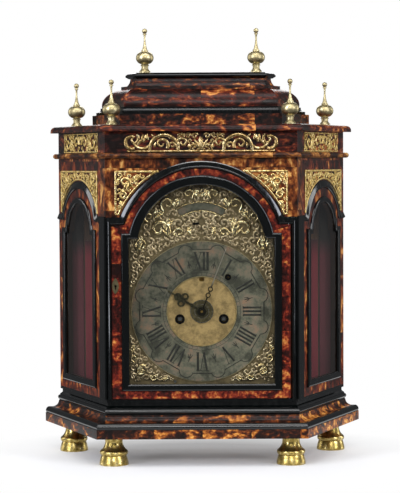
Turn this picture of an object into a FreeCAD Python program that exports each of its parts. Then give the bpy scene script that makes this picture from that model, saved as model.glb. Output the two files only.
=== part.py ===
import FreeCAD, Part
import math
import os
import re
import Sketcher

# A veneered table clock of about 1750: a case that widens to the back, a stepped bell
# top with six finials, an arched glazed front door, glazed canted sides, a glazed rear
# door and a spring driven movement. Lengths are millimetres, the front looks along -Y,
# +Z is up and the origin lies under the middle of the case on the standing surface.

doc = FreeCAD.newDocument("table_clock")
vector = FreeCAD.Vector

sizes = {
    # plan of the base
    "cant_angle": 65.2,
    "case_depth": 183.0,
    "base_front_half": 143.0,
    "overrun": 4.0,
    # heights of the levels
    "foot_height": 39.5,
    "base_board_height": 12.5,
    "bead_height": 8.5,
    "cavetto_height": 9.0,
    "plinth_height": 21.5,
    "body_height": 328.0,
    "band_height": 7.5,
    "frieze_height": 29.5,
    "cornice_height": 9.0,
    "block_height": 15.0,
    "step_height": 10.0,
    "dome_height": 25.0,
    "cove_height": 15.0,
    "slab_height": 8.4,
    # insets of the levels from the outline of the base board
    "bead_inset": 0.8,
    "bead_top_inset": 4.0,
    "bead_round_share": 0.706,
    "cavetto_setback": 0.7,
    "plinth_overhang": 1.8,
    "plinth_lip": 1.5,
    "torus_height": 6.6,
    "torus_round_share": 0.606,
    "groove_depth": 2.6,
    "groove_bottom": 12.5,
    "body_inset": 20.0,
    "plinth_bead": 4.0,
    "band_overhang": 7.3,
    "cornice_overhang": 10.5,
    "cornice_lip": 2.0,
    "core_margin": 1.5,
    "slab_depth": 15.5,
    "step_setback": 3.6,
    "step_lip": 4.0,
    "step_slope": 4.1,
    "step_top_lip": 2.6,
    "step_round_share": 0.75,
    "dome_setback": 1.6,
    "dome_slope": 17.4,
    "dome_round_share": 0.706,
    "fillet_setback": 0.3,
    "fillet_height": 4.5,
    "cove_setback": 5.0,
    "cove_slope": 3.4,
    "cove_round_share": 1.45,
    "slab_overhang": 1.0,
    "slab_under_overhang": 1.4,
    "slab_under_rise": 2.6,
    "slab_lip": 2.0,
    "slab_slope": 7.5,
    "slab_round_share": 0.952,
    # feet, a turned bell on a neck
    "foot_radius": 20.0,
    "foot_rim": 2.5,
    "foot_waist": 17.2,
    "foot_waist_height": 13.0,
    "foot_bead_height": 7.5,
    "foot_bead_share": 0.56,
    "foot_flare_share": 1.3,
    "foot_flank_round": 60.0,
    "foot_neck": 12.0,
    "foot_neck_height": 31.0,
    "foot_ring": 13.4,
    "foot_ring_height": 3.2,
    "front_foot_inset": 34.6,
    "front_foot_depth": 36.0,
    "back_foot_inset": 29.4,
    "back_foot_margin": 22.0,
    "foot_spigot": 5.0,
    "spigot_length": 6.0,
    "seat_gap": 0.05,
    # finials
    "finial_base": 7.8,
    "finial_base_rim": 1.6,
    "finial_neck": 4.8,
    "finial_neck_bottom": 5.5,
    "finial_neck_top": 9.6,
    "finial_collar": 6.2,
    "finial_ball_bottom": 12.0,
    "finial_ball_height": 17.0,
    "finial_ball_share": 0.504,
    "finial_cap_height": 2.2,
    "finial_taper": 3.8,
    "finial_stem": 1.6,
    "finial_knop": 2.6,
    "finial_spire_height": 21.5,
    "finial_spire_share": 2.2,
    "finial_tip_height": 7.0,
    "finial_spigot": 2.5,
    "front_finial_setback": 16.9,
    "front_finial_depth": 32.0,
    "back_finial_setback": 18.7,
    "back_finial_margin": 36.0,
    "top_finial_margin": 13.7,
    # front of the case and its door
    "corner_strip": 7.5,
    "surround_width": 9.7,
    "surround_proud": 3.0,
    "surround_edge_share": 0.73,
    "crown_margin": 3.79,
    "surround_shoulder_rise": 10.1,
    "door_stile": 24.1,
    "arch_step": 11.1,
    "arch_rail": 22.5,
    "sight_foot": 21.1,
    "sight_shoulder_rise": 14.7,
    "sight_arch_width": 13.2,
    "sight_side_width": 10.7,
    "sight_shoulder_width": 7.5,
    "sight_bottom_width": 9.7,
    "sight_proud": 3.0,
    "sight_edge_share": 0.8,
    "glass_lap": 2.0,
    "glass_thickness": 2.2,
    "glass_gap": 0.1,
    "door_shoulder_rise": 33.8,
    "door_thickness": 11.0,
    "door_gap": 0.6,
    "door_stop_gap": 1.5,
    "mask_thickness": 3.5,
    "mask_reveal": 3.0,
    "pivot_setback": 3.0,
    "pin_radius": 1.4,
    "pin_gap": 0.05,
    "pin_reach": 8.0,
    "pin_seat": 2.6,
    "keyhole_rise": 155.0,
    "keyhole_inset": 5.6,
    "escutcheon_half": 4.6,
    "escutcheon_height": 22.0,
    "escutcheon_thickness": 1.0,
    "key_radius": 1.7,
    "key_slot": 5.0,
    "key_slot_half": 0.8,
    "key_depth": 6.0,
    # canted sides, measured along the face from the front corner
    "panel_thickness": 10.0,
    "window_stile": 17.28,
    "window_arch_step": 9.0,
    "window_crown_margin": 31.0,
    "window_shoulder_rise": 0.5,
    "window_moulding": 11.0,
    "window_arch_moulding": 8.0,
    "side_arch_width": 11.0,
    "side_shoulder_rise": 19.0,
    "side_shoulder_width": 8.5,
    "corner_moulding": 17.0,
    # back
    "back_thickness": 12.0,
    "rear_jamb": 18.96,
    "rear_door_foot": 6.0,
    "rear_door_head": 16.0,
    "rear_door_thickness": 10.0,
    "rear_stile": 52.0,
    "rear_rail": 30.0,
    "lining_thickness": 2.0,
    "lining_rise": 6.5,
    "lining_margin": 2.0,
    # gilt mounts
    "mount_thickness": 1.2,
    "spandrel_side_margin": 13.5,
    "spandrel_foot_margin": 3.6,
    "spandrel_head_margin": 17.2,
    "spandrel_gap": 1.0,
    "side_spandrel_margin": 10.56,
    "frieze_side_margin": 25.2,
    "frieze_mount_height": 28.0,
    "frieze_end_share": 0.42,
    "frieze_scallop_share": 0.6,
    "frieze_mount_margin": 0.7,
    "side_frieze_margin": 24.0,
    "piercing": 3.4,
    # dial
    "dial_drop": 85.8,
    "dial_depth": 38.0,
    "dial_thickness": 2.0,
    "dial_border": 4.4,
    "ring_margin": 2.1,
    "ring_width": 48.1,
    "ring_thickness": 1.5,
    "foliage_thickness": 2.5,
    "foliage_gap": 0.5,
    "plaque_margin": 25.3,
    "plaque_width": 8.7,
    "plaque_half_angle": 30.0,
    "plaque_bow_share": 0.6,
    "plaque_thickness": 1.0,
    "lever_slot_half": 3.0,
    "lever_slot_left": -7.5,
    "lever_slot_rise": 33.2,
    "lever_slot_height": 2.4,
    "winding_half": 30.0,
    "winding_drop": 10.7,
    "winding_hole": 6.0,
    "alarm_hole_side": 36.0,
    "alarm_hole_rise": 46.7,
    "alarm_hole": 4.5,
    "calendar_rise": 44.4,
    "calendar_half": 3.4,
    "dial_centre_hole": 5.2,
    "alarm_disc_radius": 16.0,
    "alarm_disc_thickness": 1.0,
    "alarm_disc_gap": 0.5,
    # hands
    "hour_angle": 302.0,
    "minute_angle": 21.3,
    "hand_thickness": 1.2,
    "hand_gap": 0.8,
    "hour_hand_lap": 5.6,
    "minute_hand_margin": 4.5,
    "hour_hub": 8.0,
    "hour_stem_half": 1.6,
    "hour_leaf_radius": 8.5,
    "hour_leaf_distance": 30.0,
    "hour_leaf_side": 5.9,
    "hour_leaf_hole": 2.3,
    "minute_hub": 6.0,
    "minute_loop_radius": 3.6,
    "minute_loop_hole": 2.2,
    "minute_loop_distance": 24.0,
    "minute_loop_spacing": 9.0,
    "minute_needle_half": 0.9,
    "collet_radius": 3.6,
    "collet_height": 1.0,
    # movement
    "plate_depth": 50.0,
    "plate_thickness": 3.0,
    "plate_spacing": 55.0,
    "plate_half": 58.0,
    "plate_drop": 51.7,
    "plate_height": 138.0,
    "plate_chamfer": 14.0,
    "pillar_radius": 3.2,
    "pillar_knop": 5.4,
    "pillar_margin": 8.0,
    "dial_foot_radius": 3.0,
    "dial_foot_margin": 16.0,
    "bench_thickness": 8.0,
    "bench_overhang": 12.0,
    "bench_cheek": 10.0,
    "bench_front_gap": 2.0,
    "tooth_gap": 0.25,
    "tooth_depth_share": 0.65,
    "tooth_foot_share": 0.3,
    "tooth_tip_share": 0.14,
    "tooth_sink_share": 0.2,
    "leaf_depth_share": 0.35,
    "great_teeth": 48.0,
    "centre_pinion_leaves": 6.0,
    "great_wheel_thickness": 3.0,
    "great_wheel_depth": 56.0,
    "barrel_radius": 24.0,
    "barrel_length": 28.0,
    "arbor_radius": 3.4,
    "square_half": 2.4,
    "square_reach": 9.0,
    "pivot_radius": 0.8,
    "small_arbor": 1.0,
    "stud_radius": 1.2,
    "centre_arbor": 1.6,
    "centre_wheel_radius": 27.0,
    "centre_teeth": 72.0,
    "wheel_thickness": 1.6,
    "centre_wheel_depth": 96.0,
    "third_wheel_radius": 20.0,
    "third_teeth": 72.0,
    "third_wheel_depth": 84.0,
    "third_leaves": 6.0,
    "escape_wheel_radius": 15.0,
    "escape_teeth": 30.0,
    "escape_tooth_length": 3.4,
    "escape_leaves": 6.0,
    "escape_wheel_depth": 71.0,
    "pinion_length": 5.0,
    "pinion_lap": 1.0,
    "pinion_lead": 1.5,
    "pallet_span_angle": 48.0,
    "pallet_gap": 1.5,
    "pallet_length": 5.0,
    "pallet_step": 3.0,
    "pallet_width": 2.6,
    "anchor_rise": 21.5,
    "anchor_thickness": 3.0,
    "anchor_lap": 0.6,
    "anchor_arm": 4.0,
    "wheel_rim": 3.2,
    "wheel_hub": 4.6,
    "wheel_spoke": 3.0,
    "cannon_radius": 4.2,
    "cannon_leaves": 10.0,
    "cannon_pipe": 2.5,
    "cannon_depth": 47.2,
    "motion_thickness": 1.5,
    "minute_teeth": 30.0,
    "minute_pinion_leaves": 8.0,
    "hour_teeth": 32.0,
    "hour_wheel_depth": 44.6,
    "hour_pipe": 4.0,
    "motion_angle": 135.0,
    # pendulum, hammer and bell
    "pendulum_length": 172.5,
    "rod_radius": 1.3,
    "pendulum_eye": 3.25,
    "bob_radius": 13.5,
    "bob_half_thickness": 4.0,
    "pendulum_gap": 5.0,
    "bell_radius": 29.0,
    "bell_height": 27.0,
    "bell_wall": 1.8,
    "bell_gap": 7.0,
    "bell_depth": 76.0,
    "stand_width": 10.0,
    "stand_thickness": 3.0,
    "hammer_pivot_rise": 104.0,
    "hammer_arm": 1.5,
    "hammer_boss": 3.0,
    "hammer_boss_length": 4.5,
    "hammer_head": 4.0,
    "hammer_head_length": 8.0,
    "hammer_gap": 1.4,
    "hammer_rise": 5.0,
}

sheet = doc.addObject("Spreadsheet::Sheet", "Sizes")
for row, (alias, number) in enumerate(sizes.items(), start=1):
    sheet.set(f"A{row}", alias)
    sheet.set(f"B{row}", str(number))
    sheet.setAlias(f"B{row}", alias)
doc.recompute()

def slope(run, rise):
    return f"sqrt(({run}) ^ 2 + ({rise}) ^ 2)"


def front_corner(inset):
    return f"(base_front_half - ({inset}) * tan(cant_angle / 2))"


def cant_at(inset, depth):
    return f"(base_front_half + ({depth}) / tan(cant_angle) - ({inset}) / sin(cant_angle))"


# Sizes and places that follow from the ones in the sheet.
derived = {
    "body_bottom": "foot_height + base_board_height + bead_height + cavetto_height"
                   " + plinth_height",
    "body_top": "body_bottom + body_height",
    "bead_round": "bead_round_share * bead_height",
    "plinth_inset": "body_inset - plinth_overhang",
    "cavetto_inset": "plinth_inset - cavetto_height - cavetto_setback",
    "torus_round": "torus_round_share * torus_height",
    "groove_inset": "body_inset + groove_depth",
    "band_inset": "body_inset - band_overhang",
    "cornice_inset": "body_inset - cornice_overhang",
    "block_inset": "(case_depth + cornice_inset - slab_depth) / 2 - slab_slope + slab_overhang"
                   " - cove_setback - fillet_setback - dome_slope - dome_setback"
                   " - step_slope - step_setback",
    "step_inset": "block_inset + step_setback",
    "step_top_inset": "step_inset + step_slope",
    "step_round": "step_round_share * "
                  + slope("step_slope", "step_height - step_lip - step_top_lip"),
    "dome_inset": "step_top_inset + dome_setback",
    "dome_top_inset": "dome_inset + dome_slope",
    "dome_round": "dome_round_share * " + slope("dome_slope", "dome_height"),
    "fillet_inset": "dome_top_inset + fillet_setback",
    "cove_inset": "fillet_inset + cove_setback",
    "cove_top_inset": "cove_inset + cove_slope",
    "cove_round": "cove_round_share * " + slope("cove_slope", "cove_height - fillet_height"),
    "slab_inset": "cove_inset - slab_overhang",
    "slab_under_inset": "cove_top_inset - slab_under_overhang",
    "slab_top_inset": "slab_inset + slab_slope",
    "slab_round": "slab_round_share * "
                  + slope("slab_slope", "slab_height - slab_under_rise - slab_lip"),
    "foot_bead_top": "foot_waist_height + foot_bead_height",
    "foot_flare_round": "foot_flare_share * "
                        + slope("foot_waist - foot_neck", "foot_neck_height - foot_bead_top"),
    "front_foot_half": cant_at("front_foot_inset", "front_foot_depth"),
    "back_foot_depth": "case_depth - back_foot_margin",
    "back_foot_half": cant_at("back_foot_inset", "back_foot_depth"),
    "finial_ball_round": "finial_ball_share * finial_ball_height",
    "finial_spire_round": "finial_spire_share * finial_spire_height",
    "front_finial_inset": "block_inset - front_finial_setback",
    "back_finial_inset": "block_inset - back_finial_setback",
    "front_finial_half": cant_at("front_finial_inset", "front_finial_depth"),
    "back_finial_depth": "case_depth - back_finial_margin",
    "back_finial_half": cant_at("back_finial_inset", "back_finial_depth"),
    "top_finial_half": front_corner("slab_inset") + " - top_finial_margin",
    "top_finial_depth": "(case_depth + cornice_inset) / 2",
    "door_half": front_corner("body_inset") + " - corner_strip",
    "sight_half": "door_half - door_stile",
    "sight_arch": "sight_half - arch_step",
    "door_arch": "sight_arch + arch_rail",
    "arch_centre": "body_top - door_arch - surround_width - crown_margin",
    "sight_bottom": "body_bottom + sight_foot",
    "sight_shoulder": "arch_centre + sight_shoulder_rise",
    "door_shoulder": "arch_centre + door_shoulder_rise",
    "surround_shoulder": "door_shoulder + surround_shoulder_rise",
    "surround_edge": "surround_edge_share * surround_proud",
    "sight_edge": "sight_edge_share * sight_proud",
    "keyhole_height": "body_bottom + keyhole_rise",
    "side_length": "(case_depth - body_inset) / sin(cant_angle)",
    "window_centre": "(corner_moulding + side_length) / 2",
    "side_arch_inner": "(side_length - corner_moulding) / 2 - window_stile",
    "side_arch_outer": "side_arch_inner + side_arch_width",
    "window_half": "side_arch_inner - window_moulding",
    "window_arch": "window_half - window_arch_step",
    "window_arch_centre": "body_top - side_arch_outer - window_crown_margin",
    "window_shoulder": "window_arch_centre + window_shoulder_rise",
    "side_shoulder_inner": "window_arch_centre + side_shoulder_rise",
    "side_shoulder_outer": "side_shoulder_inner + side_shoulder_width",
    "rear_door_half": cant_at("body_inset + panel_thickness", "case_depth - back_thickness")
                      + " - rear_jamb",
    "lining_top": "arch_centre + lining_rise",
    "spandrel_half": front_corner("body_inset") + " - spandrel_side_margin",
    "spandrel_bottom": "surround_shoulder + spandrel_foot_margin",
    "spandrel_top": "body_top - spandrel_head_margin",
    "side_spandrel_end": "side_length - side_spandrel_margin",
    "frieze_mount_half": front_corner("body_inset") + " - frieze_side_margin",
    "dial_centre": "arch_centre - dial_drop",
    "ring_outer": "sight_half - ring_margin",
    "ring_inner": "ring_outer - ring_width",
    "plaque_outer": "sight_arch - plaque_margin",
    "plaque_inner": "plaque_outer - plaque_width",
    "hour_hand_length": "ring_inner + hour_hand_lap",
    "minute_hand_length": "ring_outer - minute_hand_margin",
    "plate_bottom": "dial_centre - plate_drop",
    "hammer_pivot": "plate_bottom + hammer_pivot_rise",
}

# Heights of the levels, each on top of the one below.
levels = {}
level_names = ["foot", "base_board", "bead", "cavetto", "plinth", "body", "band",
               "frieze", "cornice", "block", "step", "dome", "cove", "slab"]
total = "0"
for name in level_names:
    levels[name] = f"({total})"
    total = f"{total} + {name}_height"
levels["top"] = f"({total})"

left, right = 1, -1
finished = []


def formula(text):
    """Writes out the derived sizes and puts the sheet's name before the others."""
    def full(word):
        name = word.group()
        if name in derived:
            return f"({formula(derived[name])})"
        return "Sizes." + name if name in sizes else name
    return re.sub(r"[a-z_]+", full, str(text))


def number_of(text):
    """What a formula gives with the sheet's present sizes."""
    result = sheet.evalExpression(formula(text))
    return float(getattr(result, "Value", result))


def bind(thing, name, text):
    thing.setExpression(name, formula(text))


def place(thing, x="0", depth="0", z="0", axis=None, angle="0"):
    """Puts an object at a side place, a depth behind the front and a height."""
    if axis:
        rotation = FreeCAD.Rotation(vector(*axis), number_of(angle))
        thing.Placement = FreeCAD.Placement(vector(0, 0, 0), rotation)
        bind(thing, "Placement.Rotation.Angle", angle)
    bind(thing, "Placement.Base.x", x)
    bind(thing, "Placement.Base.y", f"{depth} - case_depth / 2")
    bind(thing, "Placement.Base.z", z)


def finish(thing, label):
    thing.Label = label
    finished.append(thing)
    return thing


def new_body(name, x="0", depth="0", z="0", axis=None, angle="0"):
    body = doc.addObject("PartDesign::Body", name)
    place(body, x, depth, z, axis, angle)
    return body


def origin_feature(body, role):
    return next(item for item in body.Origin.OriginFeatures if item.Role == role)


def new_sketch(body, plane, offset="0"):
    sketch = body.newObject("Sketcher::SketchObject", "Outline")
    sketch.AttachmentSupport = (origin_feature(body, plane), [""])
    sketch.MapMode = "FlatFace"
    if offset != "0":
        bind(sketch, "AttachmentOffset.Base.z", offset)
    return sketch


def pin_point(sketch, geometry, point, x, y):
    """Holds one point of a sketch at two formulas."""
    for kind, text, axis in (("DistanceX", x, -2), ("DistanceY", y, -1)):
        if text == "0":
            sketch.addConstraint(Sketcher.Constraint("PointOnObject", geometry, point, axis))
        else:
            row = sketch.addConstraint(
                Sketcher.Constraint(kind, geometry, point, number_of(text)))
            bind(sketch, f"Constraints[{row}]", text)


def arc_between(start, end, radius, turn):
    """An arc of under half a turn that bends left or right on its way."""
    chord = end - start
    rise = math.sqrt(max(radius * radius - chord.Length * chord.Length / 4, 0))
    normal = vector(-chord.y, chord.x, 0).normalize()
    centre = (start + end) / 2 + normal * rise * turn
    first, last = (start, end) if turn == left else (end, start)
    begin = math.atan2(first.y - centre.y, first.x - centre.x)
    finish_angle = math.atan2(last.y - centre.y, last.x - centre.x)
    if finish_angle < begin:
        finish_angle += 2 * math.pi
    circle = Part.Circle(centre, vector(0, 0, 1), radius)
    return Part.ArcOfCircle(circle, begin, finish_angle)


def draw(sketch, corners):
    """Draws a closed outline. A corner is (x, y), or (x, y, radius, turn) before an arc."""
    places = [vector(number_of(corner[0]), number_of(corner[1]), 0) for corner in corners]
    pieces = []
    for index, corner in enumerate(corners):
        start, end = places[index], places[(index + 1) % len(places)]
        if len(corner) == 2:
            geometry = sketch.addGeometry(Part.LineSegment(start, end), False)
            pieces.append((geometry, 1, 2))
        else:
            radius, turn = corner[2], corner[3]
            arc = arc_between(start, end, number_of(radius), turn)
            geometry = sketch.addGeometry(arc, False)
            row = sketch.addConstraint(
                Sketcher.Constraint("Radius", geometry, number_of(radius)))
            bind(sketch, f"Constraints[{row}]", radius)
            pieces.append((geometry, 1, 2) if turn == left else (geometry, 2, 1))
    for index, corner in enumerate(corners):
        geometry, start, end = pieces[index]
        before, ignored, before_end = pieces[index - 1]
        sketch.addConstraint(
            Sketcher.Constraint("Coincident", before, before_end, geometry, start))
        pin_point(sketch, geometry, start, corner[0], corner[1])


def draw_circle(sketch, x, y, radius):
    centre = vector(number_of(x), number_of(y), 0)
    circle = Part.Circle(centre, vector(0, 0, 1), number_of(radius))
    geometry = sketch.addGeometry(circle, False)
    row = sketch.addConstraint(Sketcher.Constraint("Radius", geometry, number_of(radius)))
    bind(sketch, f"Constraints[{row}]", radius)
    pin_point(sketch, geometry, 3, x, y)


def draw_all(sketch, shapes):
    for shape in shapes:
        if isinstance(shape, tuple):
            draw_circle(sketch, *shape)
        else:
            draw(sketch, shape)


def upright(body, shapes, depth, thickness, kind="Pad"):
    """A pad or pocket that runs inward from an upright outline at a depth."""
    sketch = new_sketch(body, "XZ_Plane", f"-({depth})")
    draw_all(sketch, shapes)
    feature = body.newObject(f"PartDesign::{kind}", kind)
    feature.Profile = sketch
    bind(feature, "Length", thickness)
    feature.Reversed = kind == "Pad"
    body.Tip = feature
    return feature


def level(body, shapes, height, thickness, kind="Pad"):
    """A pad or pocket that runs upward from a flat outline at a height."""
    sketch = new_sketch(body, "XY_Plane", height)
    draw_all(sketch, shapes)
    feature = body.newObject(f"PartDesign::{kind}", kind)
    feature.Profile = sketch
    bind(feature, "Length", thickness)
    feature.Reversed = kind == "Pocket"
    body.Tip = feature
    return feature


def turned(body, corners, axis):
    """A revolved outline: (radius, height) about V_Axis or (depth, radius) about H_Axis."""
    sketch = new_sketch(body, "YZ_Plane")
    draw(sketch, corners)
    feature = body.newObject("PartDesign::Revolution", "Revolution")
    feature.Profile = sketch
    feature.ReferenceAxis = (sketch, [axis])
    feature.Angle = 360
    body.Tip = feature
    return feature


def pattern(body, feature, count):
    """Repeats a feature round the axis that its sketch is square to."""
    polar = body.newObject("PartDesign::PolarPattern", "PolarPattern")
    polar.Originals = [feature]
    polar.Axis = (feature.Profile[0], ["N_Axis"])
    polar.Angle = 360
    bind(polar, "Occurrences", count)
    body.Tip = polar
    return polar


def shaft(steps):
    """Outline of a stepped shaft from (start, end, radius) steps along its axis."""
    corners = [(steps[0][0], "0")]
    for start, end, radius in steps:
        corners.append((start, radius))
        corners.append((end, radius))
    corners.append((steps[-1][1], "0"))
    return corners


def mirrored(source, name):
    mirror = doc.addObject("Part::Mirroring", name)
    mirror.Source = source
    mirror.Normal = vector(1, 0, 0)
    return mirror


def group(members, label):
    compound = doc.addObject("Part::Compound", "Group")
    compound.Links = members
    return finish(compound, label)


# Plan outlines

def plan(inset, back):
    return [(f"-{front_corner(inset)}", inset), (front_corner(inset), inset),
            (cant_at(inset, back), back), (f"-{cant_at(inset, back)}", back)]


def moulded_board(label, name, profile, core, closed=False, last=True):
    """A board whose front and canted edges, and back edge if closed, carry a profile."""
    body = new_body(label, z=levels[name])
    height = f"{name}_height"
    back = f"case_depth + cornice_inset - ({core})" if closed else "case_depth"
    spine = new_sketch(body, "XY_Plane")
    if closed:
        stops = [("0", core), (front_corner(core), core), (cant_at(core, back), back),
                 ("0", back)]
    else:
        far = "(case_depth + overrun)"
        stops = [("0", core), (front_corner(core), core), (cant_at(core, far), far)]
    for first, second in zip(stops, stops[1:]):
        start = vector(number_of(first[0]), number_of(first[1]), 0)
        end = vector(number_of(second[0]), number_of(second[1]), 0)
        spine.addGeometry(Part.LineSegment(start, end), False)
    for index, stop in enumerate(stops):
        geometry, point = (index, 1) if index < len(stops) - 1 else (index - 1, 2)
        pin_point(spine, geometry, point, *stop)
        if 0 < index < len(stops) - 1:
            spine.addConstraint(
                Sketcher.Constraint("Coincident", index - 1, 2, index, 1))
    section = new_sketch(body, "YZ_Plane")
    draw(section, profile + [(core, height), (core, "0")])
    sweep = body.newObject("PartDesign::AdditivePipe", "Moulding")
    sweep.Profile = section
    sweep.Spine = (spine, [f"Edge{number + 1}" for number in range(len(stops) - 1)])
    sweep.Transition = "Right corner"
    body.Tip = sweep
    both = body.newObject("PartDesign::Mirrored", "Mirrored")
    both.Originals = [sweep]
    both.MirrorPlane = (origin_feature(body, "YZ_Plane"), [""])
    body.Tip = both
    level(body, [plan(core, back)], "0", height)
    if not closed:
        beyond = "(base_front_half + case_depth)"
        edge = [(f"-{beyond}", "case_depth"), (beyond, "case_depth"),
                (beyond, "case_depth + 2 * overrun"), (f"-{beyond}", "case_depth + 2 * overrun")]
        level(body, [edge], "0", height, "Pocket")
    if last:
        finish(body, label)
    return body


def plain_board(label, name, inset, closed=False, last=True):
    body = new_body(label, z=levels[name])
    back = f"case_depth + cornice_inset - ({inset})" if closed else "case_depth"
    level(body, [plan(inset, back)], "0", f"{name}_height")
    if last:
        finish(body, label)
    return body


# Doors turn on upright pins that stand as far from the door's edge as from its face.
front_pivot = ("(door_half - door_gap - pivot_setback)", "(body_inset + pivot_setback)")
rear_face = "(case_depth - (back_thickness - rear_door_thickness) / 2)"
rear_pivot = ("(rear_door_half - door_gap - pivot_setback)", f"({rear_face} - pivot_setback)")
rear_bottom = f"({levels['body']} + rear_door_foot)"
rear_top = f"({levels['band']} - rear_door_head)"
frame_thickness = "(door_thickness + door_stop_gap + mask_thickness)"


def make_base():
    board = plain_board("base_board", "base_board", "0", last=False)
    holes = []
    for side in (-1, 1):
        for half, depth in (("front_foot_half", "front_foot_depth"),
                            ("back_foot_half", "back_foot_depth")):
            holes.append((f"{side} * {half}", depth, "foot_spigot + seat_gap"))
    level(board, holes, "0", "spigot_length + seat_gap", "Pocket")
    finish(board, "base_board")
    moulded_board("base_bead", "bead",
                  [("bead_inset", "0"),
                   ("bead_inset", "bead_inset / 2", "bead_round", right),
                   ("bead_top_inset", "bead_height")], "bead_top_inset + core_margin")
    moulded_board("base_cavetto", "cavetto",
                  [("cavetto_inset", "0", "cavetto_height", left),
                   ("cavetto_inset + cavetto_height", "cavetto_height")],
                  "cavetto_inset + cavetto_height + core_margin")
    neck = "plinth_lip + torus_height"
    ledge = "(plinth_inset + body_inset) / 2"
    plinth = moulded_board(
        "plinth_moulding", "plinth",
        [("plinth_inset", "0"),
         ("plinth_inset", "plinth_lip", "torus_round", right),
         ("plinth_inset", neck),
         (ledge, neck),
         (ledge, f"{neck} + plinth_lip"),
         ("groove_inset", "groove_bottom"),
         ("groove_inset", "plinth_height - plinth_bead"),
         ("body_inset", "plinth_height - plinth_bead"),
         ("body_inset", "plinth_height")],
        "groove_inset + core_margin", last=False)
    level(plinth, [(*front_pivot, "pin_radius + pin_gap")],
          "plinth_height - pin_seat - pin_gap", "pin_seat + pin_gap", "Pocket")
    finish(plinth, "plinth_moulding")


def make_feet():
    profile = [("0", "0"), ("foot_radius", "0"),
               ("foot_radius", "foot_rim", "foot_flank_round", left),
               ("foot_waist", "foot_waist_height", "foot_bead_share * foot_bead_height", left),
               ("foot_waist", "foot_bead_top", "foot_flare_round", right),
               ("foot_neck", "foot_neck_height"),
               ("foot_neck", "foot_height - foot_ring_height"),
               ("foot_ring", "foot_height - foot_ring_height"),
               ("foot_ring", "foot_height"),
               ("foot_spigot", "foot_height"),
               ("foot_spigot", "foot_height + spigot_length"),
               ("0", "foot_height + spigot_length")]
    feet = []
    for side in (-1, 1):
        for half, depth in (("front_foot_half", "front_foot_depth"),
                            ("back_foot_half", "back_foot_depth")):
            foot = new_body("foot", x=f"{side} * {half}", depth=depth)
            turned(foot, profile, "V_Axis")
            feet.append(foot)
    group(feet, "feet")


def broken_arch(half, bottom, shoulder, arch, centre="arch_centre", middle="0"):
    """Closed outline of a rectangle with a narrower round arch on its shoulders."""
    reach = f"sqrt(({arch}) ^ 2 - (({shoulder}) - {centre}) ^ 2)"
    crown = f"{centre} + {arch}"
    lead = "" if middle == "0" else f"{middle} + "
    trail = "-" if middle == "0" else f"{middle} - "
    return [(f"{trail}({half})", bottom), (f"{lead}({half})", bottom),
            (f"{lead}({half})", shoulder), (f"{lead}{reach}", shoulder, arch, left),
            (middle, crown, arch, left), (f"{trail}{reach}", shoulder),
            (f"{trail}({half})", shoulder)]


def front_edges(body, depth, lowest=None):
    """Names of the edges of a body's last feature that lie in its front plane."""
    doc.recompute()
    shape = body.Tip.Shape
    plane = number_of(depth)
    names = []
    for index, edge in enumerate(shape.Edges, start=1):
        box = edge.BoundBox
        flat = abs(box.YMin - plane) < 1e-4 and abs(box.YMax - plane) < 1e-4
        if flat and (lowest is None or box.ZMax > number_of(lowest) + 1e-4):
            names.append(f"Edge{index}")
    return names


def round_edges(body, names, radius):
    base = body.Tip
    fillet = body.newObject("PartDesign::Fillet", "Fillet")
    fillet.Base = (base, names)
    bind(fillet, "Radius", radius)
    body.Tip = fillet
    return fillet


def upright_edge(body, x, depth):
    """Name of the upright edge of a body's last feature at a side place and a depth."""
    doc.recompute()
    across, behind = number_of(x), number_of(depth)
    names = []
    for index, edge in enumerate(body.Tip.Shape.Edges, start=1):
        box = edge.BoundBox
        if abs(box.XMin - across) < 1e-4 and abs(box.XMax - across) < 1e-4:
            if abs(box.YMin - behind) < 1e-4 and abs(box.YMax - behind) < 1e-4:
                names.append(f"Edge{index}")
    return names


door_outline = ("door_half", f"{levels['body']}", "door_shoulder", "door_arch")
sight_outline = ("sight_half", "sight_bottom", "sight_shoulder", "sight_arch")


def grown(outline, margin, bottom_too=True):
    """Half width, bottom, shoulder and arch radius of an outline grown by a margin."""
    half, bottom, shoulder, arch = outline
    low = f"{bottom} - ({margin})" if bottom_too else bottom
    return (f"{half} + ({margin})", low, f"{shoulder} + ({margin})", f"{arch} + ({margin})")


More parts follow.
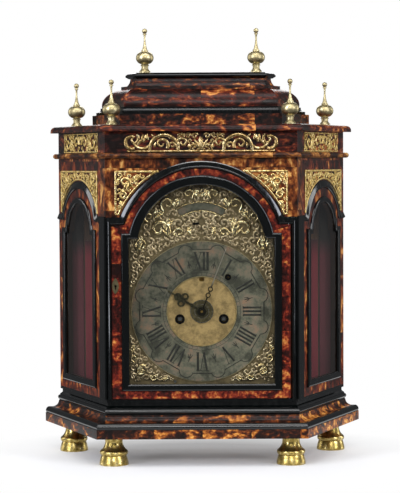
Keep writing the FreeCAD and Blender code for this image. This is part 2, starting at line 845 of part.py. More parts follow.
def make_front():
    frame = new_body("front_frame")
    depth = "body_inset"
    back = f"(body_inset + {frame_thickness})"
    ends = [(f"-{front_corner(depth)}", depth), (front_corner(depth), depth),
            (cant_at(depth, back), back), (f"-{cant_at(depth, back)}", back)]
    level(frame, [ends], levels["body"], "body_height")
    upright(frame, [broken_arch("door_half", f"{levels['body']} - overrun",
                                "door_shoulder", "door_arch")],
            depth, "door_thickness + door_stop_gap", "Pocket")
    upright(frame, [broken_arch(*grown(sight_outline, "mask_reveal"))],
            "body_inset + door_thickness + door_stop_gap", "mask_thickness", "Pocket")
    level(frame, [(*front_pivot, "pin_radius + pin_gap")], "door_shoulder",
          "pin_seat + pin_gap", "Pocket")
    finish(frame, "front_frame")

    surround = new_body("door_surround")
    outer = "door_arch + surround_width"
    reach = f"sqrt(({outer}) ^ 2 - (surround_shoulder - arch_centre) ^ 2)"
    inner = "sqrt(door_arch ^ 2 - (door_shoulder - arch_centre) ^ 2)"
    corner, foot = front_corner("body_inset"), levels["body"]
    outline = [(corner, foot), (corner, "surround_shoulder"),
               (reach, "surround_shoulder", outer, left),
               ("0", f"arch_centre + {outer}", outer, left),
               (f"-{reach}", "surround_shoulder"), (f"-{corner}", "surround_shoulder"),
               (f"-{corner}", foot), ("-door_half", foot), ("-door_half", "door_shoulder"),
               (f"-{inner}", "door_shoulder", "door_arch", right),
               ("0", "arch_centre + door_arch", "door_arch", right),
               (inner, "door_shoulder"), ("door_half", "door_shoulder"),
               ("door_half", foot)]
    upright(surround, [outline], "body_inset - surround_proud", "surround_proud")
    names = front_edges(surround, "body_inset - surround_proud", foot)
    round_edges(surround, names, "surround_edge")
    finish(surround, "door_surround")


def make_door():
    frame = new_body("door_frame")
    half = "(door_half - door_gap)"
    bottom = f"({levels['body']} + door_gap)"
    upright(frame, [broken_arch(*grown(door_outline, "-door_gap")),
                    broken_arch(*grown(sight_outline, "glass_lap"))],
            "body_inset", "door_thickness")
    round_edges(frame, upright_edge(frame, half, "body_inset"), "pivot_setback")
    bore = (*front_pivot, "pin_radius + pin_gap")
    level(frame, [bore], bottom, "pin_reach", "Pocket")
    level(frame, [bore], "door_shoulder - door_gap - pin_reach", "pin_reach + overrun",
          "Pocket")
    key = ("-(door_half - keyhole_inset)", "keyhole_height")
    upright(frame, [(*key, "key_radius")], "body_inset", "key_depth", "Pocket")
    upright(frame, [slot(*key)], "body_inset", "key_depth", "Pocket")
    finish(frame, "door_frame")

    moulding = new_body("door_sight_moulding")
    upright(moulding, [broken_arch("sight_half + sight_side_width",
                                   "sight_bottom - sight_bottom_width",
                                   "sight_shoulder + sight_shoulder_width",
                                   "sight_arch + sight_arch_width"),
                       broken_arch(*sight_outline)],
            "body_inset - sight_proud", "sight_proud")
    round_edges(moulding, front_edges(moulding, "body_inset - sight_proud"), "sight_edge")
    finish(moulding, "door_sight_moulding")

    glass = new_body("door_glass")
    upright(glass, [broken_arch(*grown(sight_outline, "glass_lap - glass_gap"))],
            "body_inset", "glass_thickness")
    finish(glass, "door_glass")

    plate = new_body("door_escutcheon")
    bow = ("((escutcheon_height / 2) ^ 2 + escutcheon_half ^ 2) / (2 * escutcheon_half)")
    x, height = key
    upright(plate, [[(x, f"{height} - escutcheon_height / 2", bow, left),
                     (x, f"{height} + escutcheon_height / 2", bow, left)]],
            "body_inset - escutcheon_thickness", "escutcheon_thickness")
    upright(plate, [(*key, "key_radius")], "body_inset - escutcheon_thickness",
            "escutcheon_thickness", "Pocket")
    upright(plate, [slot(*key)], "body_inset - escutcheon_thickness",
            "escutcheon_thickness", "Pocket")
    finish(plate, "door_escutcheon")


def slot(x, height):
    """The straight part of a keyhole, which hangs from its round part."""
    return [(f"{x} - key_slot_half", f"{height} - key_slot"),
            (f"{x} + key_slot_half", f"{height} - key_slot"),
            (f"{x} + key_slot_half", height), (f"{x} - key_slot_half", height)]


def make_pins():
    reach = "(pin_reach + door_gap - pin_gap)"
    seats = [(front_pivot, f"{levels['body']} - pin_seat"),
             (front_pivot, f"door_shoulder - {reach}"),
             (rear_pivot, f"{rear_bottom} - pin_seat"),
             (rear_pivot, f"{rear_top} - {reach}")]
    pins = []
    for pivot, bottom in seats:
        pin = doc.addObject("Part::Cylinder", "pin")
        bind(pin, "Radius", "pin_radius")
        bind(pin, "Height", f"{reach} + pin_seat")
        place(pin, pivot[0], pivot[1], bottom)
        pins.append(pin)
    group(pins, "hinge_pins")


# Canted sides are drawn on the right in a frame that runs back along the face.

def side_body(name):
    return new_body(name, x=front_corner("body_inset"), depth="body_inset",
                    axis=(0, 0, 1), angle="cant_angle")


def along(depth, behind):
    """Where a plane a depth behind the front cuts a line behind the canted face."""
    return f"(({depth} - body_inset - ({behind}) * cos(cant_angle)) / sin(cant_angle))"


def window_outline(margin, shoulder_margin, arch_margin, bottom_margin):
    return broken_arch(f"window_half + ({margin})", f"sight_bottom - ({bottom_margin})",
                       f"window_shoulder + ({shoulder_margin})",
                       f"window_arch + ({arch_margin})", "window_arch_centre",
                       "window_centre")


def pair(body, label):
    group([body, mirrored(body, "Left")], label)


def make_sides():
    panel = side_body("side_panel")
    start = f"(body_inset + {frame_thickness})"
    inner = "panel_thickness"
    level(panel, [[(along(start, "0"), "0"), (along("case_depth", "0"), "0"),
                   (along("case_depth", inner), inner), (along(start, inner), inner)]],
          levels["body"], "body_height")
    upright(panel, [window_outline(*["glass_lap"] * 4)], "0", "panel_thickness", "Pocket")
    finish(panel, "side_panel_right")
    finish(mirrored(panel, "side_panel"), "side_panel_left")

    sash = side_body("window_frame")
    upright(sash, [window_outline("window_moulding", "window_arch_moulding",
                                  "window_arch_moulding", "sight_bottom_width"),
                   window_outline("0", "0", "0", "0")],
            "-sight_proud", "sight_proud")
    round_edges(sash, front_edges(sash, "-sight_proud"), "sight_edge")
    pair(sash, "side_window_frames")

    pane = side_body("side_glass")
    upright(pane, [window_outline(*["glass_lap - glass_gap"] * 4)], "0", "glass_thickness")
    pair(pane, "side_glasses")

    hood = side_body("side_arch")
    centre, mid = "window_arch_centre", "window_centre"
    outer = f"sqrt(side_arch_outer ^ 2 - (side_shoulder_outer - {centre}) ^ 2)"
    inside = f"sqrt(side_arch_inner ^ 2 - (side_shoulder_inner - {centre}) ^ 2)"
    end = along("case_depth", "0")
    upright(hood, [[("corner_moulding", "side_shoulder_inner"),
                    (f"{mid} - {inside}", "side_shoulder_inner", "side_arch_inner", right),
                    (mid, f"{centre} + side_arch_inner", "side_arch_inner", right),
                    (f"{mid} + {inside}", "side_shoulder_inner"),
                    (end, "side_shoulder_inner"), (end, "side_shoulder_outer"),
                    (f"{mid} + {outer}", "side_shoulder_outer", "side_arch_outer", left),
                    (mid, f"{centre} + side_arch_outer", "side_arch_outer", left),
                    (f"{mid} - {outer}", "side_shoulder_outer"),
                    ("corner_moulding", "side_shoulder_outer")]],
            "-surround_proud", "surround_proud")
    round_edges(hood, front_edges(hood, "-surround_proud"), "surround_edge")
    pair(hood, "side_arch_mouldings")

    post = side_body("corner_moulding")
    level(post, [[("0", "0"),
                  ("-surround_proud * sin(cant_angle)", "-surround_proud * cos(cant_angle)"),
                  ("-surround_proud * tan(cant_angle / 2)", "-surround_proud"),
                  ("corner_moulding", "-surround_proud"), ("corner_moulding", "0")]],
          levels["body"], f"side_shoulder_outer - {levels['body']}")
    pair(post, "corner_mouldings")


def make_back():
    frame = new_body("back_frame")
    inset = "body_inset + panel_thickness"
    front = "(case_depth - back_thickness)"
    level(frame, [[(f"-{cant_at(inset, front)}", front), (cant_at(inset, front), front),
                   (cant_at(inset, 'case_depth'), "case_depth"),
                   (f"-{cant_at(inset, 'case_depth')}", "case_depth")]],
          levels["body"], "body_height")
    upright(frame, [box("rear_door_half", rear_bottom, rear_top)], front,
            "back_thickness", "Pocket")
    bore = (*rear_pivot, "pin_radius + pin_gap")
    level(frame, [bore], f"{rear_bottom} - pin_seat - pin_gap", "pin_seat + 2 * pin_gap",
          "Pocket")
    level(frame, [bore], f"{rear_top} - pin_gap", "pin_seat + 2 * pin_gap", "Pocket")
    finish(frame, "back_frame")

    door = new_body("rear_door")
    inner = f"({rear_face} - rear_door_thickness)"
    edge = "(rear_door_half - door_gap)"
    low, high = f"({rear_bottom} + door_gap)", f"({rear_top} - door_gap)"
    opening = ("(rear_door_half - rear_stile)", f"({low} + rear_rail)", f"({high} - rear_rail)")
    upright(door, [box(edge, low, high), box(*opening)], inner, "rear_door_thickness")
    round_edges(door, upright_edge(door, edge, rear_face), "pivot_setback")
    pane = (f"{opening[0]} + glass_lap", f"{opening[1]} - glass_lap",
            f"{opening[2]} + glass_lap")
    upright(door, [box(*pane)], inner, "glass_thickness", "Pocket")
    bore = (*rear_pivot, "pin_radius + pin_gap")
    level(door, [bore], low, "pin_reach", "Pocket")
    level(door, [bore], f"{high} - pin_reach", "pin_reach", "Pocket")
    key = (f"-({edge} - rear_stile / 2)", f"({low} + {high}) / 2")
    upright(door, [(*key, "key_radius")], inner, "rear_door_thickness", "Pocket")
    upright(door, [slot(*key)], inner, "rear_door_thickness", "Pocket")
    finish(door, "rear_door")

    glass = new_body("rear_glass")
    upright(glass, [box(f"{pane[0]} - glass_gap", f"{pane[1]} + glass_gap",
                        f"{pane[2]} - glass_gap")], inner, "glass_thickness")
    finish(glass, "rear_glass")

    lining = new_body("silk")
    near = f"{pane[0]} + lining_margin"
    far = f"{edge} - lining_margin"
    bottom = f"{low} + lining_margin"
    upright(lining, [[(near, bottom), (far, bottom), (far, "lining_top"),
                      (near, "lining_top")]],
            f"{inner} - lining_thickness", "lining_thickness")
    pair(lining, "silk_linings")


def box(half, bottom, top):
    return [(f"-({half})", bottom), (half, bottom), (half, top), (f"-({half})", top)]


def make_top():
    moulded_board("top_band", "band",
                  [("band_inset + band_height / 2", "0", "band_height / 2", right),
                   ("band_inset", "band_height / 2", "band_height / 2", right),
                   ("band_inset + band_height / 2", "band_height")],
                  "band_inset + band_height / 2 + core_margin")
    plain_board("frieze_board", "frieze", "body_inset")
    step = "cornice_height - cornice_lip"
    cornice = moulded_board("cornice", "cornice",
                            [("cornice_inset", "0"), ("cornice_inset", "cornice_lip", step, right),
                             (f"cornice_inset + {step}", "cornice_height")],
                            "cornice_inset + cornice_height + core_margin", last=False)
    holes = []
    for side in (-1, 1):
        for half, depth in (("front_finial_half", "front_finial_depth"),
                            ("back_finial_half", "back_finial_depth")):
            holes.append((f"{side} * {half}", depth, "finial_spigot + seat_gap"))
    level(cornice, holes, "cornice_height - spigot_length - seat_gap",
          "spigot_length + seat_gap", "Pocket")
    finish(cornice, "cornice")
    plain_board("bell_block", "block", "block_inset", closed=True)
    moulded_board("bell_step", "step",
                  [("step_inset", "0"), ("step_inset", "step_lip", "step_round", left),
                   ("step_top_inset", "step_height - step_top_lip"),
                   ("step_top_inset", "step_height")],
                  "step_top_inset + core_margin", closed=True)
    moulded_board("bell_dome", "dome",
                  [("dome_inset", "0", "dome_round", right),
                   ("dome_top_inset", "dome_height")],
                  "dome_top_inset + core_margin", closed=True)
    moulded_board("bell_cove", "cove",
                  [("fillet_inset", "0"), ("fillet_inset", "fillet_height"),
                   ("cove_inset", "fillet_height", "cove_round", left),
                   ("cove_top_inset", "cove_height")],
                  "cove_top_inset + core_margin", closed=True)
    slab = moulded_board("top_slab", "slab",
                         [("slab_under_inset", "0"), ("slab_inset", "slab_under_rise"),
                          ("slab_inset", "slab_under_rise + slab_lip", "slab_round", right),
                          ("slab_top_inset", "slab_height")],
                         "slab_top_inset + core_margin", closed=True, last=False)
    holes = [(f"{side} * top_finial_half", "top_finial_depth", "finial_spigot + seat_gap")
             for side in (-1, 1)]
    level(slab, holes, "slab_height - spigot_length - seat_gap",
          "spigot_length + seat_gap", "Pocket")
    finish(slab, "top_slab")


def make_finials():
    ball_top = "finial_ball_bottom + finial_ball_height"
    cap_top = f"{ball_top} + finial_cap_height"
    spire_top = f"{cap_top} + finial_spire_height"
    tip = f"{spire_top} + finial_base_rim"
    ball = "(finial_tip_height / 2 + finial_stem ^ 2 / (8 * finial_tip_height))"
    profile = [("0", "-spigot_length"), ("finial_spigot", "-spigot_length"),
               ("finial_spigot", "0"), ("finial_base", "0"),
               ("finial_base", "finial_base_rim"),
               ("finial_neck", "finial_neck_bottom"), ("finial_neck", "finial_neck_top"),
               ("finial_collar", "finial_neck_top"),
               ("finial_neck", "finial_ball_bottom", "finial_ball_round", left),
               ("finial_neck", ball_top), ("finial_neck", cap_top),
               ("finial_taper", cap_top, "finial_spire_round", right),
               ("finial_stem", spire_top), ("finial_knop", spire_top), ("finial_knop", tip),
               ("finial_stem / 2", tip, ball, left), ("0", f"{tip} + finial_tip_height")]
    spots = []
    for side in (-1, 1):
        spots.append((f"{side} * front_finial_half", "front_finial_depth", levels["block"]))
        spots.append((f"{side} * back_finial_half", "back_finial_depth", levels["block"]))
        spots.append((f"{side} * top_finial_half", "top_finial_depth", levels["top"]))
    finials = []
    for x, depth, height in spots:
        finial = new_body("finial", x=x, depth=depth, z=height)
        turned(finial, profile, "V_Axis")
        finials.append(finial)
    group(finials, "finials")


# Gilt mounts

def frieze_mount(body, middle, half, depth, top_shares, arcs):
    """A pierced strip whose edge runs from the foot of each end up to the middle."""
    low = f"({levels['frieze']} + frieze_mount_margin)"
    lead = "" if middle == "0" else f"{middle} + "
    trail = "-" if middle == "0" else f"{middle} - "
    heights = [f"{low} + {up} * frieze_mount_height" for share, up in top_shares]
    rise = [(f"{lead}{share} * ({half})", height) + arc
            for (share, up), height, arc in zip(top_shares, heights, arcs)]
    fall = [(f"{trail}{share} * ({half})", height) + arc
            for (share, up), height, arc in zip(top_shares, heights, [()] + arcs)]
    crest = (middle, heights[-1]) + arcs[-1]
    outline = rise + [crest] + fall[-2::-1]
    upright(body, [outline], depth, "mount_thickness")
    pierced_shares = ((0.88, 0.5, 1.5), (0.76, 0.32, 0.9), (0.64, 0.52, 1.5), (0.52, 0.3, 0.9),
                      (0.4, 0.54, 1.5), (0.27, 0.34, 1.0), (0.14, 0.6, 1.2))
    holes = [(f"{lead}{side} * {share} * ({half})", f"{low} + {up} * frieze_mount_height",
              f"{size} * piercing") for share, up, size in pierced_shares for side in (-1, 1)]
    holes.append((middle, f"{low} + {pierced_shares[1][1]} * frieze_mount_height", "piercing"))
    upright(body, holes, depth, "mount_thickness", "Pocket")


def make_mounts():
    front = "body_inset - mount_thickness"
    frieze = new_body("front_frieze_mount")
    lobed_shares = ((0.96, 0), (0.96, 0.14), (0.9, 0.86), (0.66, 0.86), (0.31, 0.86), (0, 0.94))
    lobe = ("frieze_end_share * frieze_mount_height", left)
    scallop = ("frieze_scallop_share * frieze_mount_half", left)
    frieze_mount(frieze, "0", "frieze_mount_half", front, lobed_shares,
                 [(), lobe, scallop, scallop, scallop])
    finish(frieze, "front_frieze_mount")

    side = side_body("side_frieze_mount")
    half = "(side_length / 2 - side_frieze_margin)"
    square_shares = ((1, 0), (1, 0.88), (0.5, 0.88), (0, 0.9))
    hollow = ("2 * frieze_mount_height", right)
    frieze_mount(side, "side_length / 2", half, "-mount_thickness", square_shares,
                 [hollow, (half, left), (half, left)])
    pair(side, "side_frieze_mounts")

    corner = new_body("front_spandrel")
    arch = "(door_arch + surround_width + spandrel_gap)"
    high = f"sqrt({arch} ^ 2 - (spandrel_top - arch_centre) ^ 2)"
    low = f"sqrt({arch} ^ 2 - (spandrel_bottom - arch_centre) ^ 2)"
    upright(corner, [[("spandrel_half", "spandrel_bottom"), ("spandrel_half", "spandrel_top"),
                      (high, "spandrel_top", arch, right), (low, "spandrel_bottom")]],
            front, "mount_thickness")
    corner_shares = ((0.25, 35, 1.0), (0.25, 53, 1.0), (0.56, 44, 1.6), (0.18, 44, 1.0),
                     (0.5, 37, 0.8), (0.5, 51, 0.8))
    reach = f"(sqrt(spandrel_half ^ 2 + (spandrel_top - arch_centre) ^ 2) - {arch})"
    holes = []
    for share, angle, size in corner_shares:
        distance = f"({arch} + {share} * {reach})"
        holes.append((f"{distance} * cos({angle})", f"arch_centre + {distance} * sin({angle})",
                      f"{size} * piercing"))
    upright(corner, holes, front, "mount_thickness", "Pocket")
    pair(corner, "front_spandrel_mounts")

    hood = side_body("side_spandrel")
    arch = "(side_arch_outer + spandrel_gap)"
    centre, mid = "window_arch_centre", "window_centre"
    reach = f"sqrt({arch} ^ 2 - (spandrel_bottom - {centre}) ^ 2)"
    upright(hood, [[("corner_moulding", "spandrel_bottom"),
                    (f"{mid} - {reach}", "spandrel_bottom", arch, right),
                    (mid, f"{centre} + {arch}", arch, right),
                    (f"{mid} + {reach}", "spandrel_bottom"),
                    ("side_spandrel_end", "spandrel_bottom"),
                    ("side_spandrel_end", "spandrel_top"),
                    ("corner_moulding", "spandrel_top")]],
            "-mount_thickness", "mount_thickness")
    holes = []
    hood_shares = ((42, 2.35, 0.8), (50, 2.76, 0.8), (58, 2.35, 0.8))
    for side in (-1, 1):
        for angle, rise, size in hood_shares:
            distance = f"({arch} + {rise} * piercing)"
            holes.append((f"{mid} + {side} * {distance} * cos({angle})",
                          f"{centre} + {distance} * sin({angle})", f"{size} * piercing"))
    upright(hood, holes, "-mount_thickness", "mount_thickness", "Pocket")
    pair(hood, "side_spandrel_mounts")


# Dial and hands

hour_front = ("(dial_depth - alarm_disc_gap - alarm_disc_thickness - hand_gap"
              " - hand_thickness)")
minute_front = f"({hour_front} - hand_gap - hand_thickness)"
plate_top = "(plate_bottom + plate_height)"
winding_height = "(dial_centre - winding_drop)"


def ring_sector(inner, outer, margin):
    """A curved slot on the arch's centre with bowed ends, grown by a margin."""
    small, big = f"({inner} - {margin})", f"({outer} + {margin})"
    angle = "plaque_half_angle"
    bow = f"plaque_bow_share * ({big} - {small})"
    right_small = (f"{small} * sin({angle})", f"arch_centre + {small} * cos({angle})")
    right_big = (f"{big} * sin({angle})", f"arch_centre + {big} * cos({angle})")
    left_small = (f"-{small} * sin({angle})", f"arch_centre + {small} * cos({angle})")
    left_big = (f"-{big} * sin({angle})", f"arch_centre + {big} * cos({angle})")
    return [(*right_small, bow, left), (*right_big, big, left),
            ("0", f"arch_centre + {big}", big, left), (*left_big, bow, left),
            (*left_small, small, right), ("0", f"arch_centre + {small}", small, right)]


def make_dial():
    plate = new_body("dial_plate")
    square = [("-calendar_half", "dial_centre + calendar_rise - calendar_half"),
              ("calendar_half", "dial_centre + calendar_rise - calendar_half"),
              ("calendar_half", "dial_centre + calendar_rise + calendar_half"),
              ("-calendar_half", "dial_centre + calendar_rise + calendar_half")]
    alarm = ("alarm_hole_side", "dial_centre + alarm_hole_rise", "alarm_hole")
    upright(plate, [broken_arch(*grown(sight_outline, "dial_border")),
                    ("0", "dial_centre", "dial_centre_hole"),
                    ("-winding_half", winding_height, "winding_hole"),
                    ("winding_half", winding_height, "winding_hole"), square, alarm],
            "dial_depth", "dial_thickness")
    foot = "plate_half - dial_foot_margin"
    upright(plate, [(f"{side} * ({foot})", height, "dial_foot_radius")
                    for side in (-1, 1)
                    for height in ("plate_bottom + dial_foot_margin",
                                   f"{plate_top} - dial_foot_margin")],
            "dial_depth + dial_thickness", "plate_depth - dial_depth - dial_thickness")
    finish(plate, "dial_plate")

    ring = new_body("chapter_ring")
    upright(ring, [("0", "dial_centre", "ring_outer"), ("0", "dial_centre", "ring_inner"),
                   alarm], "dial_depth - ring_thickness", "ring_thickness")
    finish(ring, "chapter_ring")

    foliage = new_body("dial_foliage")
    front = "dial_depth - foliage_thickness"
    upright(foliage, [broken_arch(*grown(sight_outline, "glass_lap")),
                      ("0", "dial_centre", "ring_outer + foliage_gap"),
                      ring_sector("plaque_inner", "plaque_outer", "foliage_gap")],
            front, "foliage_thickness")
    low = "arch_centre + lever_slot_rise"
    upright(foliage, [[("lever_slot_left - lever_slot_half", low),
                       ("lever_slot_left + lever_slot_half", low),
                       ("lever_slot_left + lever_slot_half", f"{low} + lever_slot_height"),
                       ("lever_slot_left - lever_slot_half", f"{low} + lever_slot_height")]],
            front, "foliage_thickness", "Pocket")
    finish(foliage, "dial_foliage")

    plaque = new_body("name_plaque")
    upright(plaque, [ring_sector("plaque_inner", "plaque_outer", "0")],
            "dial_depth - plaque_thickness", "plaque_thickness")
    finish(plaque, "name_plaque")

    disc = new_body("alarm_disc")
    upright(disc, [("0", "dial_centre", "alarm_disc_radius"),
                   ("0", "dial_centre", "hour_pipe")],
            "dial_depth - alarm_disc_gap - alarm_disc_thickness", "alarm_disc_thickness")
    finish(disc, "alarm_disc")


def hand_body(name, angle):
    return new_body(name, z="dial_centre", axis=(0, 1, 0), angle=angle)


def make_hands():
    hour = hand_body("hour_hand", "hour_angle")
    leaf_shares = ((-0.6, 0, 0.62), (0.6, 0, 0.62), (0, 1, 0.62), (0, -1.6, 0.3))
    lobes = [("0", "0", "hour_hub")]
    for across, along_stem, size in leaf_shares:
        lobes.append((f"{across} * hour_leaf_radius",
                      f"hour_leaf_distance + {along_stem} * hour_leaf_radius",
                      f"{size} * hour_leaf_radius"))
    for lobe in lobes:
        upright(hour, [lobe], hour_front, "hand_thickness")
    upright(hour, [[("-hour_stem_half", "0"), ("hour_stem_half", "0"),
                    ("hour_stem_half", "hour_leaf_distance"),
                    ("hour_stem_half / 2", "hour_hand_length"),
                    ("-hour_stem_half / 2", "hour_hand_length"),
                    ("-hour_stem_half", "hour_leaf_distance")]],
            hour_front, "hand_thickness")
    holes = [(f"{side} * hour_leaf_side", "hour_leaf_distance", "hour_leaf_hole")
             for side in (-1, 1)] + [("0", "0", "hour_pipe")]
    upright(hour, holes, hour_front, "hand_thickness", "Pocket")
    finish(hour, "hour_hand")

    minute = hand_body("minute_hand", "minute_angle")
    loops = ["minute_loop_distance", "minute_loop_distance + minute_loop_spacing"]
    upright(minute, [("0", "0", "minute_hub")], minute_front, "hand_thickness")
    for distance in loops:
        upright(minute, [("0", distance, "minute_loop_radius")], minute_front,
                "hand_thickness")
    start = f"{loops[1]} + minute_loop_hole"
    upright(minute, [[("-minute_needle_half", "0"), ("minute_needle_half", "0"),
                      ("minute_needle_half", start),
                      ("minute_needle_half / 2", "minute_hand_length"),
                      ("-minute_needle_half / 2", "minute_hand_length"),
                      ("-minute_needle_half", start)]], minute_front, "hand_thickness")
    upright(minute, [("0", loops[0], "minute_loop_hole"), ("0", loops[1], "minute_loop_hole"),
                     ("0", "0", "cannon_pipe")], minute_front, "hand_thickness", "Pocket")
    upright(minute, [("0", "0", "collet_radius"), ("0", "0", "centre_arbor")],
            f"{minute_front} - collet_height", "collet_height")
    finish(minute, "minute_hand")


# Movement. Each arbor has its own body whose Y axis is the arbor's.

plate_back = "(plate_depth + plate_thickness + plate_spacing + plate_thickness)"
inside_front = "(plate_depth + plate_thickness)"
inside_back = "(plate_depth + plate_thickness + plate_spacing)"
winding_distance = "sqrt(winding_half ^ 2 + winding_drop ^ 2)"
great_radius = (f"(({winding_distance} - tooth_gap) * great_teeth"
                " / (great_teeth + centre_pinion_leaves))")
centre_pinion_radius = f"({great_radius} * centre_pinion_leaves / great_teeth)"
third_pinion_radius = "(centre_wheel_radius * third_leaves / centre_teeth)"
third_height = f"(dial_centre + centre_wheel_radius + {third_pinion_radius} + tooth_gap)"
escape_pinion_radius = "(third_wheel_radius * escape_leaves / third_teeth)"
escape_height = f"({third_height} + third_wheel_radius + {escape_pinion_radius} + tooth_gap)"
anchor_height = f"({escape_height} + anchor_rise)"
minute_wheel_radius = "(cannon_radius * minute_teeth / cannon_leaves)"
motion_distance = f"(cannon_radius + {minute_wheel_radius} + tooth_gap)"
minute_pinion_radius = (f"(({motion_distance} - tooth_gap) * minute_pinion_leaves"
                        " / (minute_pinion_leaves + hour_teeth))")
hour_wheel_radius = f"({minute_pinion_radius} * hour_teeth / minute_pinion_leaves)"
motion_spot = (f"({motion_distance} * cos(motion_angle))",
               f"(dial_centre + {motion_distance} * sin(motion_angle))")
bell_bottom = f"({plate_top} + bell_gap)"
hammer_side = "-(bell_radius + hammer_gap + hammer_head_length / 2)"
pendulum_depth = f"({plate_back} + pendulum_gap)"


def root(radius, count, share):
    """Radius at the foot of the teeth of a wheel or pinion."""
    return f"({radius} - {share} * 2 * pi * {radius} / {count})"


def add_teeth(body, radius, count, share, depth, thickness):
    pitch = f"(2 * pi * {radius} / {count})"
    foot = f"({root(radius, count, share)} - tooth_sink_share * {pitch})"
    tooth = upright(body, [[(f"-tooth_foot_share * {pitch}", foot),
                            (f"tooth_foot_share * {pitch}", foot),
                            (f"tooth_tip_share * {pitch}", radius),
                            (f"-tooth_tip_share * {pitch}", radius)]],
                    depth, thickness)
    return pattern(body, tooth, count)


def add_crossings(body, rim_radius, depth, thickness):
    """Four openings between the hub and the rim, which leave four spokes."""
    rim = f"({rim_radius} - wheel_rim)"
    wide = f"(45 deg - asin(wheel_spoke / (2 * {rim})))"
    tight = "(45 deg - asin(wheel_spoke / (2 * wheel_hub)))"
    opening = upright(body, [[(f"wheel_hub * sin({tight})", f"wheel_hub * cos({tight})"),
                              (f"{rim} * sin({wide})", f"{rim} * cos({wide})", rim, left),
                              (f"-{rim} * sin({wide})", f"{rim} * cos({wide})"),
                              (f"-wheel_hub * sin({tight})", f"wheel_hub * cos({tight})",
                               "wheel_hub", right)]],
                      depth, thickness, "Pocket")
    return pattern(body, opening, "4")


def arbor_body(name, x, height, steps):
    body = new_body(name, x=x, z=height)
    turned(body, shaft(steps), "H_Axis")
    return body


def make_plates():
    outline = [("-plate_half", "plate_bottom"), ("plate_half", "plate_bottom"),
               ("plate_half", f"{plate_top} - plate_chamfer"),
               ("plate_half - plate_chamfer", plate_top),
               ("-(plate_half - plate_chamfer)", plate_top),
               ("-plate_half", f"{plate_top} - plate_chamfer")]
    pivots = [("0", third_height), ("0", escape_height), (hammer_side, "hammer_pivot")]
    small = [(x, height, "pivot_radius + pin_gap") for x, height in pivots]
    winding = [("-winding_half", winding_height), ("winding_half", winding_height)]
    front = new_body("front_plate")
    holes = small + [(x, height, "arbor_radius + pin_gap") for x, height in winding]
    holes += [("0", "dial_centre", "centre_arbor + pin_gap"),
              ("0", anchor_height, "pivot_radius + pin_gap")]
    upright(front, [outline] + holes, "plate_depth", "plate_thickness")
    upright(front, [(*motion_spot, "stud_radius")], "hour_wheel_depth",
            "plate_depth - hour_wheel_depth")
    finish(front, "front_plate")
    back = new_body("back_plate")
    holes = small + [(x, height, "pivot_radius + pin_gap") for x, height in winding]
    holes += [("0", "dial_centre", "pivot_radius + pin_gap"),
              ("0", anchor_height, "small_arbor + pin_gap")]
    upright(back, [outline] + holes, inside_back, "plate_thickness")
    finish(back, "back_plate")
    middle = f"({inside_front} + plate_spacing / 2)"
    steps = [(inside_front, f"{inside_front} + pillar_knop / 2", "(pillar_radius + pillar_knop) / 2"),
             (f"{inside_front} + pillar_knop / 2", f"{middle} - pillar_knop / 2", "pillar_radius"),
             (f"{middle} - pillar_knop / 2", f"{middle} + pillar_knop / 2", "pillar_knop"),
             (f"{middle} + pillar_knop / 2", f"{inside_back} - pillar_knop / 2", "pillar_radius"),
             (f"{inside_back} - pillar_knop / 2", inside_back, "(pillar_radius + pillar_knop) / 2")]
    pillars = []
    for side in (-1, 1):
        for height in ("plate_bottom + pillar_margin", f"{plate_top} - plate_chamfer"):
            pillars.append(arbor_body("pillar", f"{side} * (plate_half - pillar_margin)",
                                      height, steps))
    group(pillars, "plate_pillars")


def make_bench():
    bench = new_body("seat_bench")
    half = "plate_half + bench_overhang"
    floor = levels["body"]
    under = "plate_bottom - bench_thickness"
    start = "(dial_depth + dial_thickness + bench_front_gap)"
    upright(bench, [[(f"-({half})", floor), (f"-({half} - bench_cheek)", floor),
                     (f"-({half} - bench_cheek)", under), (f"{half} - bench_cheek", under),
                     (f"{half} - bench_cheek", floor), (half, floor),
                     (half, "plate_bottom"), (f"-({half})", "plate_bottom")]],
            start, f"{plate_back} - {start}")
    finish(bench, "seat_bench")


def make_barrels():
    for side, name in ((-1, "going"), (1, "strike")):
        x = f"{side} * winding_half"
        drum = "great_wheel_depth + great_wheel_thickness"
        body = arbor_body(f"{name}_barrel", x, winding_height, [
            ("great_wheel_depth", drum, root(great_radius, "great_teeth", "tooth_depth_share")),
            (drum, f"{drum} + barrel_length", "barrel_radius")])
        add_teeth(body, great_radius, "great_teeth", "tooth_depth_share",
                  "great_wheel_depth", "great_wheel_thickness")
        upright(body, [("0", "0", "arbor_radius + pin_gap")], "great_wheel_depth",
                "great_wheel_thickness + barrel_length", "Pocket")
        finish(body, f"{name}_barrel")
        arbor = arbor_body(f"{name}_arbor", x, winding_height, [
            ("plate_depth", inside_back, "arbor_radius"),
            (inside_back, plate_back, "pivot_radius")])
        upright(arbor, [[("-square_half", "-square_half"), ("square_half", "-square_half"),
                         ("square_half", "square_half"), ("-square_half", "square_half")]],
                "plate_depth - square_reach", "square_reach")
        finish(arbor, f"{name}_arbor")


